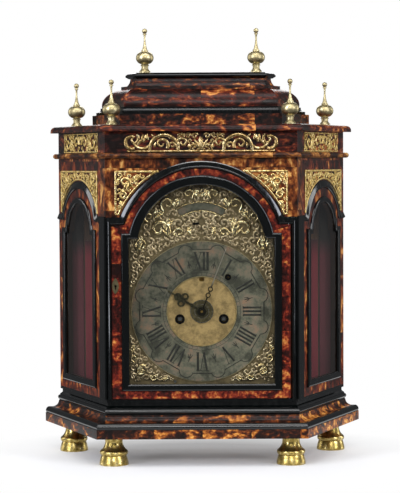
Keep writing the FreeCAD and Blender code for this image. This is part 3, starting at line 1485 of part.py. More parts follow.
def make_train():
    pinion_end = "great_wheel_depth + great_wheel_thickness + pinion_lap"
    cannon_end = "cannon_depth + motion_thickness"
    centre = arbor_body("centre_wheel", "0", "dial_centre", [
        (f"{minute_front} - collet_height", minute_front, "centre_arbor"),
        (minute_front, "cannon_depth", "cannon_pipe"),
        ("cannon_depth", cannon_end, root("cannon_radius", "cannon_leaves", "leaf_depth_share")),
        (cannon_end, "great_wheel_depth - pinion_lap", "centre_arbor"),
        ("great_wheel_depth - pinion_lap", pinion_end,
         root(centre_pinion_radius, "centre_pinion_leaves", "leaf_depth_share")),
        (pinion_end, "centre_wheel_depth", "centre_arbor"),
        ("centre_wheel_depth", "centre_wheel_depth + wheel_thickness",
         root("centre_wheel_radius", "centre_teeth", "tooth_depth_share")),
        ("centre_wheel_depth + wheel_thickness", inside_back, "centre_arbor"),
        (inside_back, plate_back, "pivot_radius")])
    add_crossings(centre, "centre_wheel_radius", "centre_wheel_depth", "wheel_thickness")
    add_teeth(centre, "centre_wheel_radius", "centre_teeth", "tooth_depth_share",
              "centre_wheel_depth", "wheel_thickness")
    add_teeth(centre, "cannon_radius", "cannon_leaves", "leaf_depth_share", "cannon_depth",
              "motion_thickness")
    add_teeth(centre, centre_pinion_radius, "centre_pinion_leaves", "leaf_depth_share",
              "great_wheel_depth", "great_wheel_thickness")
    finish(centre, "centre_wheel")

    lead = "pinion_lead"
    third_pinion = f"(centre_wheel_depth - {lead})"
    third = arbor_body("third_wheel", "0", third_height, [
        ("plate_depth", inside_front, "pivot_radius"),
        (inside_front, "third_wheel_depth", "small_arbor"),
        ("third_wheel_depth", "third_wheel_depth + wheel_thickness",
         root("third_wheel_radius", "third_teeth", "tooth_depth_share")),
        ("third_wheel_depth + wheel_thickness", third_pinion, "small_arbor"),
        (third_pinion, f"{third_pinion} + pinion_length",
         root(third_pinion_radius, "third_leaves", "leaf_depth_share")),
        (f"{third_pinion} + pinion_length", inside_back, "small_arbor"),
        (inside_back, plate_back, "pivot_radius")])
    add_crossings(third, "third_wheel_radius", "third_wheel_depth", "wheel_thickness")
    add_teeth(third, "third_wheel_radius", "third_teeth", "tooth_depth_share",
              "third_wheel_depth", "wheel_thickness")
    add_teeth(third, third_pinion_radius, "third_leaves", "leaf_depth_share",
              third_pinion, "pinion_length")
    finish(third, "third_wheel")

    foot = "(escape_wheel_radius - escape_tooth_length)"
    escape_pinion = f"(third_wheel_depth - {lead})"
    escape = arbor_body("escape_wheel", "0", escape_height, [
        ("plate_depth", inside_front, "pivot_radius"),
        (inside_front, "escape_wheel_depth", "small_arbor"),
        ("escape_wheel_depth", "escape_wheel_depth + wheel_thickness", foot),
        ("escape_wheel_depth + wheel_thickness", escape_pinion, "small_arbor"),
        (escape_pinion, f"{escape_pinion} + pinion_length",
         root(escape_pinion_radius, "escape_leaves", "leaf_depth_share")),
        (f"{escape_pinion} + pinion_length", inside_back, "small_arbor"),
        (inside_back, plate_back, "pivot_radius")])
    pitch = "(2 * pi * escape_wheel_radius / escape_teeth)"
    add_crossings(escape, foot, "escape_wheel_depth", "wheel_thickness")
    low = f"{foot} - tooth_sink_share * {pitch}"
    tooth = upright(escape, [[(f"-tooth_foot_share * {pitch}", low),
                              (f"tooth_foot_share * {pitch}", low),
                              (f"-tooth_foot_share * {pitch}", "escape_wheel_radius")]],
                    "escape_wheel_depth", "wheel_thickness")
    pattern(escape, tooth, "escape_teeth")
    add_teeth(escape, escape_pinion_radius, "escape_leaves", "leaf_depth_share",
              escape_pinion, "pinion_length")
    finish(escape, "escape_wheel")


def make_motion_work():
    hour = new_body("hour_wheel", z="dial_centre")
    bore = ("0", "0", "cannon_pipe + pin_gap")
    upright(hour, [("0", "0", "hour_pipe"), bore], hour_front,
            f"hour_wheel_depth + motion_thickness - {hour_front}")
    upright(hour, [("0", "0", root(hour_wheel_radius, "hour_teeth", "tooth_depth_share")),
                   bore], "hour_wheel_depth", "motion_thickness")
    add_teeth(hour, hour_wheel_radius, "hour_teeth", "tooth_depth_share",
              "hour_wheel_depth", "motion_thickness")
    finish(hour, "hour_wheel")

    minute = new_body("minute_wheel", x=motion_spot[0], z=motion_spot[1])
    bore = ("0", "0", "stud_radius + pin_gap")
    pinion = root(minute_pinion_radius, "minute_pinion_leaves", "leaf_depth_share")
    upright(minute, [("0", "0", pinion), bore], "hour_wheel_depth",
            "cannon_depth - hour_wheel_depth")
    upright(minute, [("0", "0", root(minute_wheel_radius, "minute_teeth",
                                     "tooth_depth_share")), bore],
            "cannon_depth", "motion_thickness")
    add_teeth(minute, minute_wheel_radius, "minute_teeth", "tooth_depth_share",
              "cannon_depth", "motion_thickness")
    add_teeth(minute, minute_pinion_radius, "minute_pinion_leaves", "leaf_depth_share",
              "hour_wheel_depth", "motion_thickness")
    finish(minute, "minute_wheel")


def make_escapement():
    anchor = arbor_body("anchor", "0", anchor_height, [
        ("plate_depth", inside_front, "pivot_radius"),
        (inside_front, f"{pendulum_depth} + rod_radius", "small_arbor")])
    tip = "(escape_wheel_radius + pallet_gap)"
    x = f"({tip} * sin(pallet_span_angle))"
    z = f"({tip} * cos(pallet_span_angle) - anchor_rise)"
    upright(anchor, [[("0", "anchor_arm"), (f"-{x} - pallet_width", f"{z} + pallet_length"),
                      (f"-{x} - pallet_width", z), (f"-{x}", z),
                      (f"-{x}", f"{z} + pallet_step"), ("0", "-small_arbor"),
                      (x, f"{z} + pallet_step"), (x, z),
                      (f"{x} + pallet_width", z), (f"{x} + pallet_width", f"{z} + pallet_length")]],
            "escape_wheel_depth - anchor_lap", "anchor_thickness")
    finish(anchor, "anchor")

    pendulum = new_body("pendulum", depth=pendulum_depth,
                        z=f"{anchor_height} - pendulum_length")
    bow = "((bob_radius ^ 2 + bob_half_thickness ^ 2) / (2 * bob_half_thickness))"
    turned(pendulum, [("-bob_half_thickness", "0", bow, right),
                      ("0", "bob_radius", bow, right), ("bob_half_thickness", "0")], "H_Axis")
    level(pendulum, [("0", "0", "rod_radius")], "0", "pendulum_length")
    upright(pendulum, [("0", "pendulum_length", "pendulum_eye")], "-rod_radius",
            "2 * rod_radius")
    upright(pendulum, [("0", "pendulum_length", "small_arbor")], "-rod_radius",
            "2 * rod_radius", "Pocket")
    finish(pendulum, "pendulum")


def make_bell():
    bell = new_body("bell", depth="bell_depth", z=bell_bottom)
    outer = "((bell_radius ^ 2 + bell_height ^ 2) / (2 * bell_height))"
    inner = f"({outer} - bell_wall)"
    mouth = f"sqrt({inner} ^ 2 - ({outer} - bell_height) ^ 2)"
    turned(bell, [("bell_radius", "0", outer, left), ("0", "bell_height"),
                  ("0", "bell_height - bell_wall", inner, right), (mouth, "0")], "V_Axis")
    finish(bell, "bell")

    stand = new_body("bell_stand")
    crown = f"({bell_bottom} + bell_height)"
    reach = "(bell_depth - stand_width / 2)"
    sketch = new_sketch(stand, "YZ_Plane", "-stand_width / 2")
    draw(sketch, [(inside_back, plate_top), (plate_back, plate_top),
                  (plate_back, f"{crown} + stand_thickness"),
                  (reach, f"{crown} + stand_thickness"), (reach, crown),
                  (inside_back, crown)])
    strap = stand.newObject("PartDesign::Pad", "Pad")
    strap.Profile = sketch
    bind(strap, "Length", "stand_width")
    stand.Tip = strap
    finish(stand, "bell_stand")

    hammer = new_body("hammer", x=hammer_side, depth="0", z="hammer_pivot")
    turned(hammer, shaft([("plate_depth", inside_front, "pivot_radius"),
                          (inside_front, inside_back, "small_arbor"),
                          (inside_back, plate_back, "pivot_radius")]), "H_Axis")
    rise = f"({bell_bottom} + hammer_rise - hammer_pivot)"
    level(hammer, [("0", "bell_depth", "hammer_arm")], "0", rise)
    upright(hammer, [("0", "0", "hammer_boss")], "bell_depth - hammer_boss_length / 2",
            "hammer_boss_length")
    sketch = new_sketch(hammer, "YZ_Plane", "-hammer_head_length / 2")
    draw_circle(sketch, "bell_depth", rise, "hammer_head")
    head = hammer.newObject("PartDesign::Pad", "Pad")
    head.Profile = sketch
    bind(head, "Length", "hammer_head_length")
    hammer.Tip = head
    finish(hammer, "hammer")


make_feet()
make_base()
make_front()
make_door()
make_pins()
make_sides()
make_back()
make_top()
make_finials()
make_mounts()
make_dial()
make_hands()
make_plates()
make_bench()
make_barrels()
make_train()
make_motion_work()
make_escapement()
make_bell()

doc.recompute()
for thing in doc.Objects:
    if "Invalid" in thing.State or "Error" in thing.State:
        raise RuntimeError(f"{thing.Name} of {thing.Label} failed: {thing.State}")
for thing in finished:
    if thing.Shape.isNull() or not thing.Shape.isValid():
        raise RuntimeError(f"{thing.Label} has no valid shape")

os.makedirs("parts", exist_ok=True)
for thing in finished:
    thing.Shape.exportStep(f"parts/{thing.Label}.step")
print(len(finished), "nodes,", sum(len(thing.Shape.Solids) for thing in finished), "solids")
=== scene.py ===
import bmesh
import bpy
import math
import random
from mathutils import Matrix, Vector


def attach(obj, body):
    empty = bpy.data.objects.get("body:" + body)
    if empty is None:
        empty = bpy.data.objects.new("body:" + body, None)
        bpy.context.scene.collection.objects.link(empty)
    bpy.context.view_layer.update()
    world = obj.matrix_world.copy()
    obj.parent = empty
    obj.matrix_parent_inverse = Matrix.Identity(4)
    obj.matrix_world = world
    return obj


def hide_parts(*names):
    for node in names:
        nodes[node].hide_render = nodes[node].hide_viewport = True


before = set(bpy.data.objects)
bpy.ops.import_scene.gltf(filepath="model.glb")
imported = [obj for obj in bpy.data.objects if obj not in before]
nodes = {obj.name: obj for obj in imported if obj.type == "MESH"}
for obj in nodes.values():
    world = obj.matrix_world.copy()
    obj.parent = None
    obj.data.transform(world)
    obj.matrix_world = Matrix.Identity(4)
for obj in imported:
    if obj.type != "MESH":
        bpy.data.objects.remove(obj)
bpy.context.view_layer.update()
mm = 0.001
middleDepth = 91.5  # depths run back from the base's front edge
frontDepth = 20  # the case's front
plateDepth = 38  # the dial plate's front
frontHalf = 130.209  # from the middle to the corner where the side starts
cantAngle = 65.2  # the sides run out to the back at this angle
dialCentre = 209.7
archCentre = 295.5


def at(x, depth, z):
    return Vector((x * mm, (depth - middleDepth) * mm, z * mm))


def colour(code):
    parts = [int(code[i:i + 2], 16) / 255 for i in (1, 3, 5)]
    return [p / 12.92 if p <= 0.04045 else ((p + 0.055) / 1.055) ** 2.4 for p in parts] + [1.0]


def grey(value):
    return (value, value, value, 1.0)


def link(tree, node, links):
    for name, (source, output) in links.items():
        tree.links.new(source.outputs[output], node.inputs[name])


def addNode(tree, kind, settings=None, links=None):  # a maths node's kind ends in its operation
    kind, *operation = kind.split()
    node = tree.nodes.new("ShaderNode" + kind)
    if operation:
        node.operation = operation[0]
    for name, value in (settings or {}).items():
        if name == "stops":
            for stop in value[2:]:
                node.color_ramp.elements.new(stop[0])
            for element, (place, shade) in zip(node.color_ramp.elements, value):
                element.position = place
                element.color = colour(shade) if isinstance(shade, str) else grey(shade)
        elif name == "size":  # of a pattern, in mm
            node.inputs["Scale"].default_value = 1 / (value * mm)
        elif isinstance(name, int) or name in node.inputs:
            node.inputs[name].default_value = value
        else:
            setattr(node, name, value)
    link(tree, node, links or {})
    return node


def newMaterial(name, settings):
    material = bpy.data.materials.new(name)
    material.use_nodes = True
    tree = material.node_tree
    shader = tree.nodes["Principled BSDF"]
    for socket, value in settings.items():
        shader.inputs[socket].default_value = value
    return material, tree, shader, {"Vector": (addNode(tree, "TexCoord"), "Object")}


# Finishes


multiply = {"data_type": "RGBA", "blend_type": "MULTIPLY", "Factor": 1.0}
shell = {"cloud": 24, "fleck": 5.5, "joint": 0.5, "veneer": 0.6, "archReach": 105}  # in mm
shellPlaces = (0.62, 0.72, 0.79, 0.86, 0.96)  # where the mottling takes the tones below
shellTones = {  # from the near black blotches to the clear amber between them
    "brown": ("#1d100a", "#482410", "#79451b", "#a96f32", "#e0b067"),
    "amber": ("#100907", "#2c130a", "#632e15", "#ac6625", "#f4b35e"),
    "red": ("#120705", "#2c0f09", "#521b0f", "#84401d", "#d28c46"),
    "dark": ("#0c0706", "#26100a", "#52200f", "#93501f", "#dfa052"),
    "door": ("#190806", "#3a100a", "#621b12", "#8a381c", "#c4813f"),
    "frame": ("#140905", "#381809", "#5e2b11", "#8c5021", "#cf9a55"),
    # side panels: lighter tones, partly the shell's own and partly painted light on the slanting
    # sides
    "side": ("#1c0c07", "#46180d", "#742c14", "#a6612b", "#e6a85a"),
}


def roundArch(tree, axes):  # the height on the door's uprights, carried on round its arch
    side = addNode(tree, "Math ABSOLUTE", {}, {0: (axes, "X")})
    rise = addNode(tree, "Math SUBTRACT", {1: archCentre * mm}, {0: (axes, "Z")})
    over = addNode(tree, "Math MAXIMUM", {1: 0.0}, {0: (rise, "Value")})
    turn = addNode(tree, "Math ARCTAN2", {}, {0: (over, "Value"), 1: (side, "Value")})
    low = addNode(tree, "Math MINIMUM", {1: archCentre * mm}, {0: (axes, "Z")})
    return addNode(tree, "Math MULTIPLY_ADD", {1: shell["archReach"] * mm},
                   {0: (turn, "Value"), 2: (low, "Value")})


def oakBehind(tree, place, axes, veneered, faces):  # edges and inner faces are stained oak
    mirrored = addNode(tree, "VectorMath ABSOLUTE", {}, {0: place["Vector"]})
    flat = addNode(tree, "SeparateXYZ", links={"Vector": (mirrored, "Vector")})
    level = addNode(tree, "CombineXYZ", links={"X": (flat, "X"), "Y": (axes, "Y")})
    within = None
    for normal, reach in faces:
        out = addNode(tree, "VectorMath DOT_PRODUCT", {1: normal}, {0: (level, "Vector")})
        behind = addNode(tree, "Math LESS_THAN", {1: reach}, {0: (out, "Value")})
        if within is not None:
            behind = addNode(tree, "Math MULTIPLY", {},
                             {0: (within, "Value"), 1: (behind, "Value")})
        within = behind
    return addNode(tree, "Mix", {"data_type": "RGBA", 7: colour("#2a1b12")},
                   {0: (within, "Value"), 6: (veneered, 2)})


# Turtle shell laid over a red ground and polished: deep soft mottling, cut in strips that each
# have a figure of their own, with a dark line of glue between them
def tortoiseshell(name, tones, stretch, shift, strip, pitch, faces=()):
    material, tree, shader, place = newMaterial(name, {"Specular IOR Level": 0.2})
    axes = addNode(tree, "SeparateXYZ", links=place)
    along = (roundArch(tree, axes), "Value") if strip == "Ring" else (axes, strip)
    steps = addNode(tree, "Math DIVIDE", {1: pitch * mm}, {0: along})
    count = addNode(tree, "Math FLOOR", {}, {0: (steps, "Value")})
    part = addNode(tree, "Math FRACT", {}, {0: (steps, "Value")})
    other = addNode(tree, "TexWhiteNoise", {"noise_dimensions": "1D"}, {"W": (count, "Value")})
    moved = addNode(tree, "VectorMath ADD", {}, {0: place["Vector"], 1: (other, "Color")})
    turned = addNode(tree, "Mapping", {"Scale": stretch, "Location": shift},
                     {"Vector": (moved, "Vector")})
    cloud = addNode(tree, "TexNoise",
                    {"size": shell["cloud"], "Detail": 6.0, "Roughness": 0.6, "Distortion": 0.9},
                    {"Vector": (turned, "Vector")})
    fleck = addNode(tree, "TexNoise", {"size": shell["fleck"], "Detail": 3.0, "Roughness": 0.6},
                    {"Vector": (turned, "Vector")})
    both = addNode(tree, "Math MULTIPLY_ADD", {1: 0.4}, {0: (fleck, "Fac"), 2: (cloud, "Fac")})
    strength = addNode(tree, "Math MULTIPLY_ADD", {1: 0.1},
                       {0: (other, "Value"), 2: (both, "Value")})
    shade = addNode(tree, "ValToRGB", {"stops": list(zip(shellPlaces, shellTones[tones]))},
                    {"Fac": (strength, "Value")})
    line = shell["joint"] / pitch
    joint = addNode(tree, "ValToRGB", {"stops": [(line, 0.25), (line * 1.6, 1.0)]},
                    {"Fac": (part, "Value")})
    joined = addNode(tree, "Mix", multiply, {6: (shade, "Color"), 7: (joint, "Color")})
    wear = addNode(tree, "ValToRGB", {"stops": [(0.3, 0.26), (0.7, 0.42)]},
                   {"Fac": (fleck, "Fac")})
    if faces:
        joined = oakBehind(tree, place, axes, joined, faces)
    link(tree, shader, {"Base Color": (joined, 2), "Roughness": (wear, "Color")})
    return material


cantNormal = Vector((math.sin(math.radians(cantAngle)), -math.cos(math.radians(cantAngle)), 0))
behindFront = ((0, -1, 0), -at(0, frontDepth + shell["veneer"], 0).y)
behindCant = (cantNormal, cantNormal.dot(at(frontHalf, frontDepth, 0)) - shell["veneer"] * mm)
shellBand = tortoiseshell("shellBand", "brown", (0.7, 0.7, 1.3), (0.1, 0.2, 0.3), "X", 97.0)
shellTop = tortoiseshell("shellTop", "red", (0.8, 1, 1.8), (0.5, 0.1, 0.8), "X", 74.0)
shellCove = tortoiseshell("shellCove", "dark", (0.8, 1, 2.2), (0.9, 0.3, 0.6), "X", 68.0)
shellBlock = tortoiseshell("shellBlock", "dark", (1, 1, 1.6), (0.4, 0.7, 0.2), "X", 74.0)
shellBase = tortoiseshell("shellBase", "amber", (0.8, 0.8, 1.2), (0.7, 0.4, 0.1), "X", 66.0)
shellDoor = tortoiseshell("shellDoor", "door", (1.5, 1, 1.5), (0.3, 0.9, 0.5), "Ring", 46.0,
                          [behindFront])
shellFrame = tortoiseshell("shellFrame", "frame", (1.2, 1.2, 0.8), (0.6, 0.3, 0.9), "Z", 58.0,
                           [behindFront, behindCant])
shellSide = tortoiseshell("shellSide", "side", (1.4, 1.4, 0.7), (0.2, 0.6, 0.4), "Z", 83.0,
                          [behindCant])


def ebonised():  # pearwood stained black and polished hard: crisp lights on near black
    material, tree, shader, place = newMaterial("ebonised",
                                                {"Base Color": colour("#030505"),
                                                 "Specular IOR Level": 0.6})
    long = addNode(tree, "Mapping", {"Scale": (1, 1, 0.2)}, place)
    # pores of 0.05 mm, drawn coarser to show
    grain = addNode(tree, "TexNoise", {"size": 4, "Detail": 4.0}, {"Vector": (long, "Vector")})
    wear = addNode(tree, "ValToRGB", {"stops": [(0.35, 0.07), (0.7, 0.2)]},
                   {"Fac": (grain, "Fac")})
    pores = addNode(tree, "Bump", {"Strength": 0.12, "Distance": 0.2 * mm},
                    {"Height": (grain, "Fac")})
    link(tree, shader, {"Roughness": (wear, "Color"), "Normal": (pores, "Normal")})
    return material


# Depth of the back's inner face, and heights over which painted shade darkens the silk towards
# the top
lining = {"face": 171.3, "shadeHeights": {"From Min": 278 * mm, "From Max": 303 * mm}}


def oak(name, lined=False):  # quartered oak, fumed dark and waxed: long streaks, dull shine
    material, tree, shader, place = newMaterial(name, {"Roughness": 0.5})
    long = addNode(tree, "Mapping", {"Scale": (1, 1, 0.08)}, place)
    grain = addNode(tree, "TexNoise", {"size": 6, "Detail": 6.0, "Distortion": 0.4},
                    {"Vector": (long, "Vector")})  # year rings 2 to 6 mm apart
    shade = addNode(tree, "ValToRGB",
                    {"stops": [(0.35, "#2b1a0f"), (0.55, "#4b3120"), (0.72, "#6b4a30")]},
                    {"Fac": (grain, "Fac")})
    pores = addNode(tree, "Bump", {"Strength": 0.25, "Distance": 0.4 * mm},
                    {"Height": (grain, "Fac")})
    link(tree, shader, {"Base Color": (shade, "Color"), "Normal": (pores, "Normal")})
    if lined:  # dull crimson silk is glued to the inner face, up to the foot of the arch; painted shade makes it darker than the silk linings and near black towards the top
        axes = addNode(tree, "SeparateXYZ", links=place)
        inner = addNode(tree, "Math LESS_THAN", {1: at(0, lining["face"], 0).y}, {0: (axes, "Y")})
        # painted shade: a darker crimson than the silk linings, going near black towards the top
        height = addNode(tree, "MapRange", lining["shadeHeights"], {"Value": (axes, "Z")})
        silkInShade = addNode(tree, "ValToRGB", {"stops": [(0.0, "#622530"), (1.0, "#150d0b")]},
                         {"Fac": (height, "Result")})
        both = addNode(tree, "Mix", {"data_type": "RGBA"},
                       {0: (inner, "Value"), 6: (shade, "Color"), 7: (silkInShade, "Color")})
        link(tree, shader, {"Base Color": (both, 2)})
    return material


# Old metal, stained in patches and rubbed bright between them: the tones run from stain to rub,
# rough is (rubbed, stained), and relief is the chaser's fine tooling
def metal(name, tones, rough, patchSize=8.0, relief=0.0):
    material, tree, shader, place = newMaterial(name, {"Metallic": 1.0})
    grain = addNode(tree, "TexNoise", {"size": patchSize, "Detail": 5.0, "Roughness": 0.6}, place)
    shade = addNode(tree, "ValToRGB", {"stops": list(zip((0.3, 0.5, 0.7), tones))},
                    {"Fac": (grain, "Fac")})
    wear = addNode(tree, "ValToRGB", {"stops": [(0.3, rough[1]), (0.7, rough[0])]},
                   {"Fac": (grain, "Fac")})
    link(tree, shader, {"Base Color": (shade, "Color"), "Roughness": (wear, "Color")})
    if relief:
        chased = addNode(tree, "Bump", {"Strength": relief, "Distance": 0.5 * mm},
                         {"Height": (grain, "Fac")})
        link(tree, shader, {"Normal": (chased, "Normal")})
    return material


def crownGlass():  # thin blown sheet: nearly clear, with a glance of light off its face
    material, tree, shader, place = newMaterial("crownGlass", {})
    for unused in (shader, place["Vector"][0]):
        tree.nodes.remove(unused)
    clear = addNode(tree, "BsdfTransparent", {"Color": colour("#f5f5f2")})
    shine = addNode(tree, "BsdfAnisotropic", {"Color": grey(1.0), "Roughness": 0.04})
    glance = addNode(tree, "Fresnel", {"IOR": 1.45})
    side = addNode(tree, "NewGeometry")
    # only the sheet's outer face throws light back
    outer = addNode(tree, "Math SUBTRACT", {0: 1.0}, {1: (side, "Backfacing")})
    share = addNode(tree, "Math MULTIPLY", {}, {0: (glance, "Fac"), 1: (outer, "Value")})
    both = addNode(tree, "MixShader",
                   links={"Fac": (share, "Value"), 1: (clear, "BSDF"), 2: (shine, "BSDF")})
    link(tree, tree.nodes["Material Output"], {"Surface": (both, 0)})
    return material


def overDial(tree, place):  # distance from the middle of the dial
    centred = addNode(tree, "Mapping", {"Location": (0, 0, -dialCentre * mm), "Scale": (1, 0, 1)},
                      place)
    return addNode(tree, "VectorMath LENGTH", {}, {0: (centred, "Vector")})


# Sheet brass punched to a fine mat in the middle: a sandy glow there, darker farther out, partly
# the plain brass's own tone and partly painted shade among the foliage
def dialPlateBrass():
    material, tree, shader, place = newMaterial("dialPlateBrass",
                                                {"Metallic": 0.85, "Roughness": 0.6})
    # painted shade in part: darker beyond the mat
    where = addNode(tree, "ValToRGB", {"stops": [(0.049, "#c9ae7a"), (0.0505, "#8a7b5c")]},
                    {"Fac": (overDial(tree, place), "Value")})
    stain = addNode(tree, "TexNoise", {"size": 14, "Detail": 5.0, "Roughness": 0.7}, place)
    # a mat of 0.4 mm dots, drawn coarser to show
    grit = addNode(tree, "TexNoise", {"size": 1.4, "Detail": 2.0}, place)
    tone = addNode(tree, "ValToRGB", {"stops": [(0.38, 0.5), (0.6, 1.0)]},
                   {"Fac": (stain, "Fac")})
    both = addNode(tree, "Mix", multiply, {6: (where, "Color"), 7: (tone, "Color")})
    mat = addNode(tree, "Bump", {"Strength": 0.6, "Distance": 0.4 * mm},
                  {"Height": (grit, "Fac")})
    link(tree, shader, {"Base Color": (both, 2), "Normal": (mat, "Normal")})
    return material


def oldSilvering():  # rubbed silvering, gone grey-green with brown patches where the brass shows
    material, tree, shader, place = newMaterial("oldSilvering",
                                                {"Metallic": 0.6, "Roughness": 0.5})
    patch = addNode(tree, "TexNoise", {"size": 26, "Detail": 4.0, "Roughness": 0.65}, place)
    fine = addNode(tree, "TexNoise", {"size": 6, "Detail": 4.0, "Roughness": 0.7}, place)
    both = addNode(tree, "Math MULTIPLY_ADD", {1: 0.3}, {0: (fine, "Fac"), 2: (patch, "Fac")})
    shade = addNode(tree, "ValToRGB",
                    {"stops": [(0.52, "#4d4e44"), (0.6, "#68695c"), (0.67, "#7e7c6c"),
                               (0.74, "#8f8272"), (0.82, "#a5866f")]}, {"Fac": (both, "Value")})
    axes = addNode(tree, "SeparateXYZ", links=place)
    low = addNode(tree, "Math MULTIPLY_ADD", {1: -0.7, 2: 0.7 * dialCentre * mm},
                  {0: (axes, "Z")})
    slant = addNode(tree, "Math ADD", {}, {0: (axes, "X"), 1: (low, "Value")})
    slantTone = addNode(tree, "MapRange",
                      {"From Min": -0.1, "From Max": 0.1, "To Min": 0.72, "To Max": 1.16},
                      {"Value": (slant, "Value")})  # darker towards the upper left
    slanted = addNode(tree, "VectorMath SCALE", {},
                     {0: (shade, "Color"), "Scale": (slantTone, "Result")})
    link(tree, shader, {"Base Color": (slanted, "Vector")})
    return material


def handSteel():  # blued by the boss and worn bright towards the tip
    material, tree, shader, place = newMaterial("handSteel", {"Metallic": 1.0, "Roughness": 0.35})
    shade = addNode(tree, "ValToRGB", {"stops": [(0.036, "#35332a"), (0.044, "#c8c2b6")]},
                    {"Fac": (overDial(tree, place), "Value")})
    link(tree, shader, {"Base Color": (shade, "Color")})
    return material


def silk():  # plain woven silk, crimson with a soft sheen, darkened towards the top with painted shade
    material, tree, shader, place = newMaterial("silk", {"Roughness": 0.55, "Sheen Weight": 0.3})
    # threads of 0.2 mm, drawn coarser to show
    weave = addNode(tree, "TexWave", {"size": 6, "Distortion": 1.0}, place)
    shade = addNode(tree, "ValToRGB", {"stops": [(0.2, "#751b29"), (0.8, "#962c3c")]},
                    {"Fac": (weave, "Fac")})
    axes = addNode(tree, "SeparateXYZ", links=place)
    # painted shade: the silk goes dark towards the top
    shadeTowardsTop = addNode(tree, "MapRange", {**lining["shadeHeights"], "To Min": 1.0, "To Max": 0.12},
                   {"Value": (axes, "Z")})
    shadedSilk = addNode(tree, "VectorMath SCALE", {},
                     {0: (shade, "Color"), "Scale": (shadeTowardsTop, "Result")})
    link(tree, shader, {"Base Color": (shadedSilk, "Vector")})
    return material


def engraversWax():  # black wax melted into the engraving, greyed and worn thin in places
    material, tree, shader, place = newMaterial("engraversWax", {"Roughness": 0.55})
    worn = addNode(tree, "TexNoise", {"size": 9, "Detail": 4.0, "Roughness": 0.7}, place)
    shade = addNode(tree, "ValToRGB",
                    {"stops": [(0.35, "#12140f"), (0.55, "#20221c"), (0.7, "#3b3c33")]},
                    {"Fac": (worn, "Fac")})
    link(tree, shader, {"Base Color": (shade, "Color")})
    return material


ebony = ebonised()
darkOak = oak("darkOak")
linedOak = oak("linedOak", True)
# feet: turned, polished and gone brown in the hollows
polishedBrass = metal("polishedBrass", ("#7d6a35", "#b59d58", "#efdda0"), (0.24, 0.4), 5.0, 0.15)
# finials and rims: the same turning, paler and duller
turnedBrass = metal("turnedBrass", ("#897c59", "#c0b185", "#e8dbaf"), (0.34, 0.5))
# castings gilded over mercury: warm and bright where they catch the light
giltBrass = metal("giltBrass", ("#6f5527", "#c9ab6c", "#f8e6b2"), (0.2, 0.36), 4.0, 0.2)
# a darker copy of the gilt for the frieze mount: painted shade
friezeGiltPaintedShade = metal("friezeGiltPaintedShade", ("#4e3b1c", "#a98c5a", "#e6d2a2"), (0.22, 0.4), 4.0, 0.2)
# a lighter copy of the gilt for the slanting sides: painted light
sideGiltPaintedLight = metal("sideGiltPaintedLight", ("#93743a", "#dcbf76", "#fbe7b0"), (0.48, 0.62), 4.0, 0.2)
# a darker copy of the dial's gilt for the lower leaves: painted shade between the scrolls
dialGiltPaintedShade = metal("dialGiltPaintedShade", ("#84765a", "#bba888", "#f2e2bd"), (0.24, 0.4), 4.0, 0.3)
dialGilt = metal("dialGilt", ("#99855b", "#d8c394", "#ffffe0"), (0.14, 0.28), 4.0, 0.2)
# movement: filed and lacquered brass, clean and yellow
trainBrass = metal("trainBrass", ("#997832", "#cba453", "#e5c06d"), (0.25, 0.38), 11.0)
bellMetal = metal("bellMetal", ("#997d41", "#ba9a53", "#d6b970"), (0.2, 0.32), 17.0)
# steel: blued and gone brown, polished, and blackened
bluedSteel = metal("bluedSteel", ("#33322b", "#55523f", "#7d7a5e"), (0.3, 0.45), 4.0)
brightSteel = metal("brightSteel", ("#848689", "#aaaeb1", "#cbcdd0"), (0.2, 0.35), 7.0)
darkSteel = metal("darkSteel", ("#0a0a0a", "#151413", "#262420"), (0.3, 0.5), 5.0)
# the alarm disc and lock plates: brass gone dull and dark
discBrass = metal("discBrass", ("#49442f", "#686048", "#8c8262"), (0.4, 0.55), 5.0)
clearGlass = crownGlass()
matted = dialPlateBrass()
silvered = oldSilvering()
minuteSteel = handSteel()
blackWax = engraversWax()
crimsonSilk = silk()
print("finishes made")

finishes = {
    shellBand: ["top_band"],
    shellTop: ["frieze_board", "cornice", "bell_dome"],
    shellCove: ["bell_cove"],
    shellBlock: ["bell_block"],
    shellBase: ["base_board", "base_cavetto"],
    shellDoor: ["door_frame"],
    shellFrame: ["front_frame"],
    shellSide: ["side_panel_left", "side_panel_right"],
    ebony: ["base_bead", "plinth_moulding", "door_surround", "side_window_frames",
            "side_arch_mouldings", "corner_mouldings", "bell_step", "top_slab",
            "door_sight_moulding"],
    darkOak: ["rear_door", "seat_bench"],
    linedOak: ["back_frame"],
    polishedBrass: ["feet"],
    turnedBrass: ["finials"],
    giltBrass: ["front_frieze_mount", "side_frieze_mounts", "front_spandrel_mounts",
                "side_spandrel_mounts", "dial_foliage"],
    matted: ["dial_plate"],
    discBrass: ["alarm_disc", "door_escutcheon"],
    minuteSteel: ["minute_hand"],
    silvered: ["chapter_ring", "name_plaque"],
    trainBrass: ["front_plate", "back_plate", "plate_pillars", "centre_wheel", "third_wheel",
                 "escape_wheel", "hour_wheel", "minute_wheel", "going_barrel",
                 "strike_barrel", "pendulum"],
    bluedSteel: ["hour_hand"],
    brightSteel: ["hinge_pins", "going_arbor", "strike_arbor", "anchor", "hammer",
                  "bell_stand"],
    bellMetal: ["bell"],
    clearGlass: ["door_glass", "side_glasses", "rear_glass"],
    crimsonSilk: ["silk_linings"],
}
for finish, names in finishes.items():
    for name in names:
        for slot in nodes[name].material_slots:
            slot.material = finish


# Pierced and chased mounts, drawn as tapering strokes of (across, height, half width)


def shares(steps):
    return [step / steps for step in range(steps + 1)]


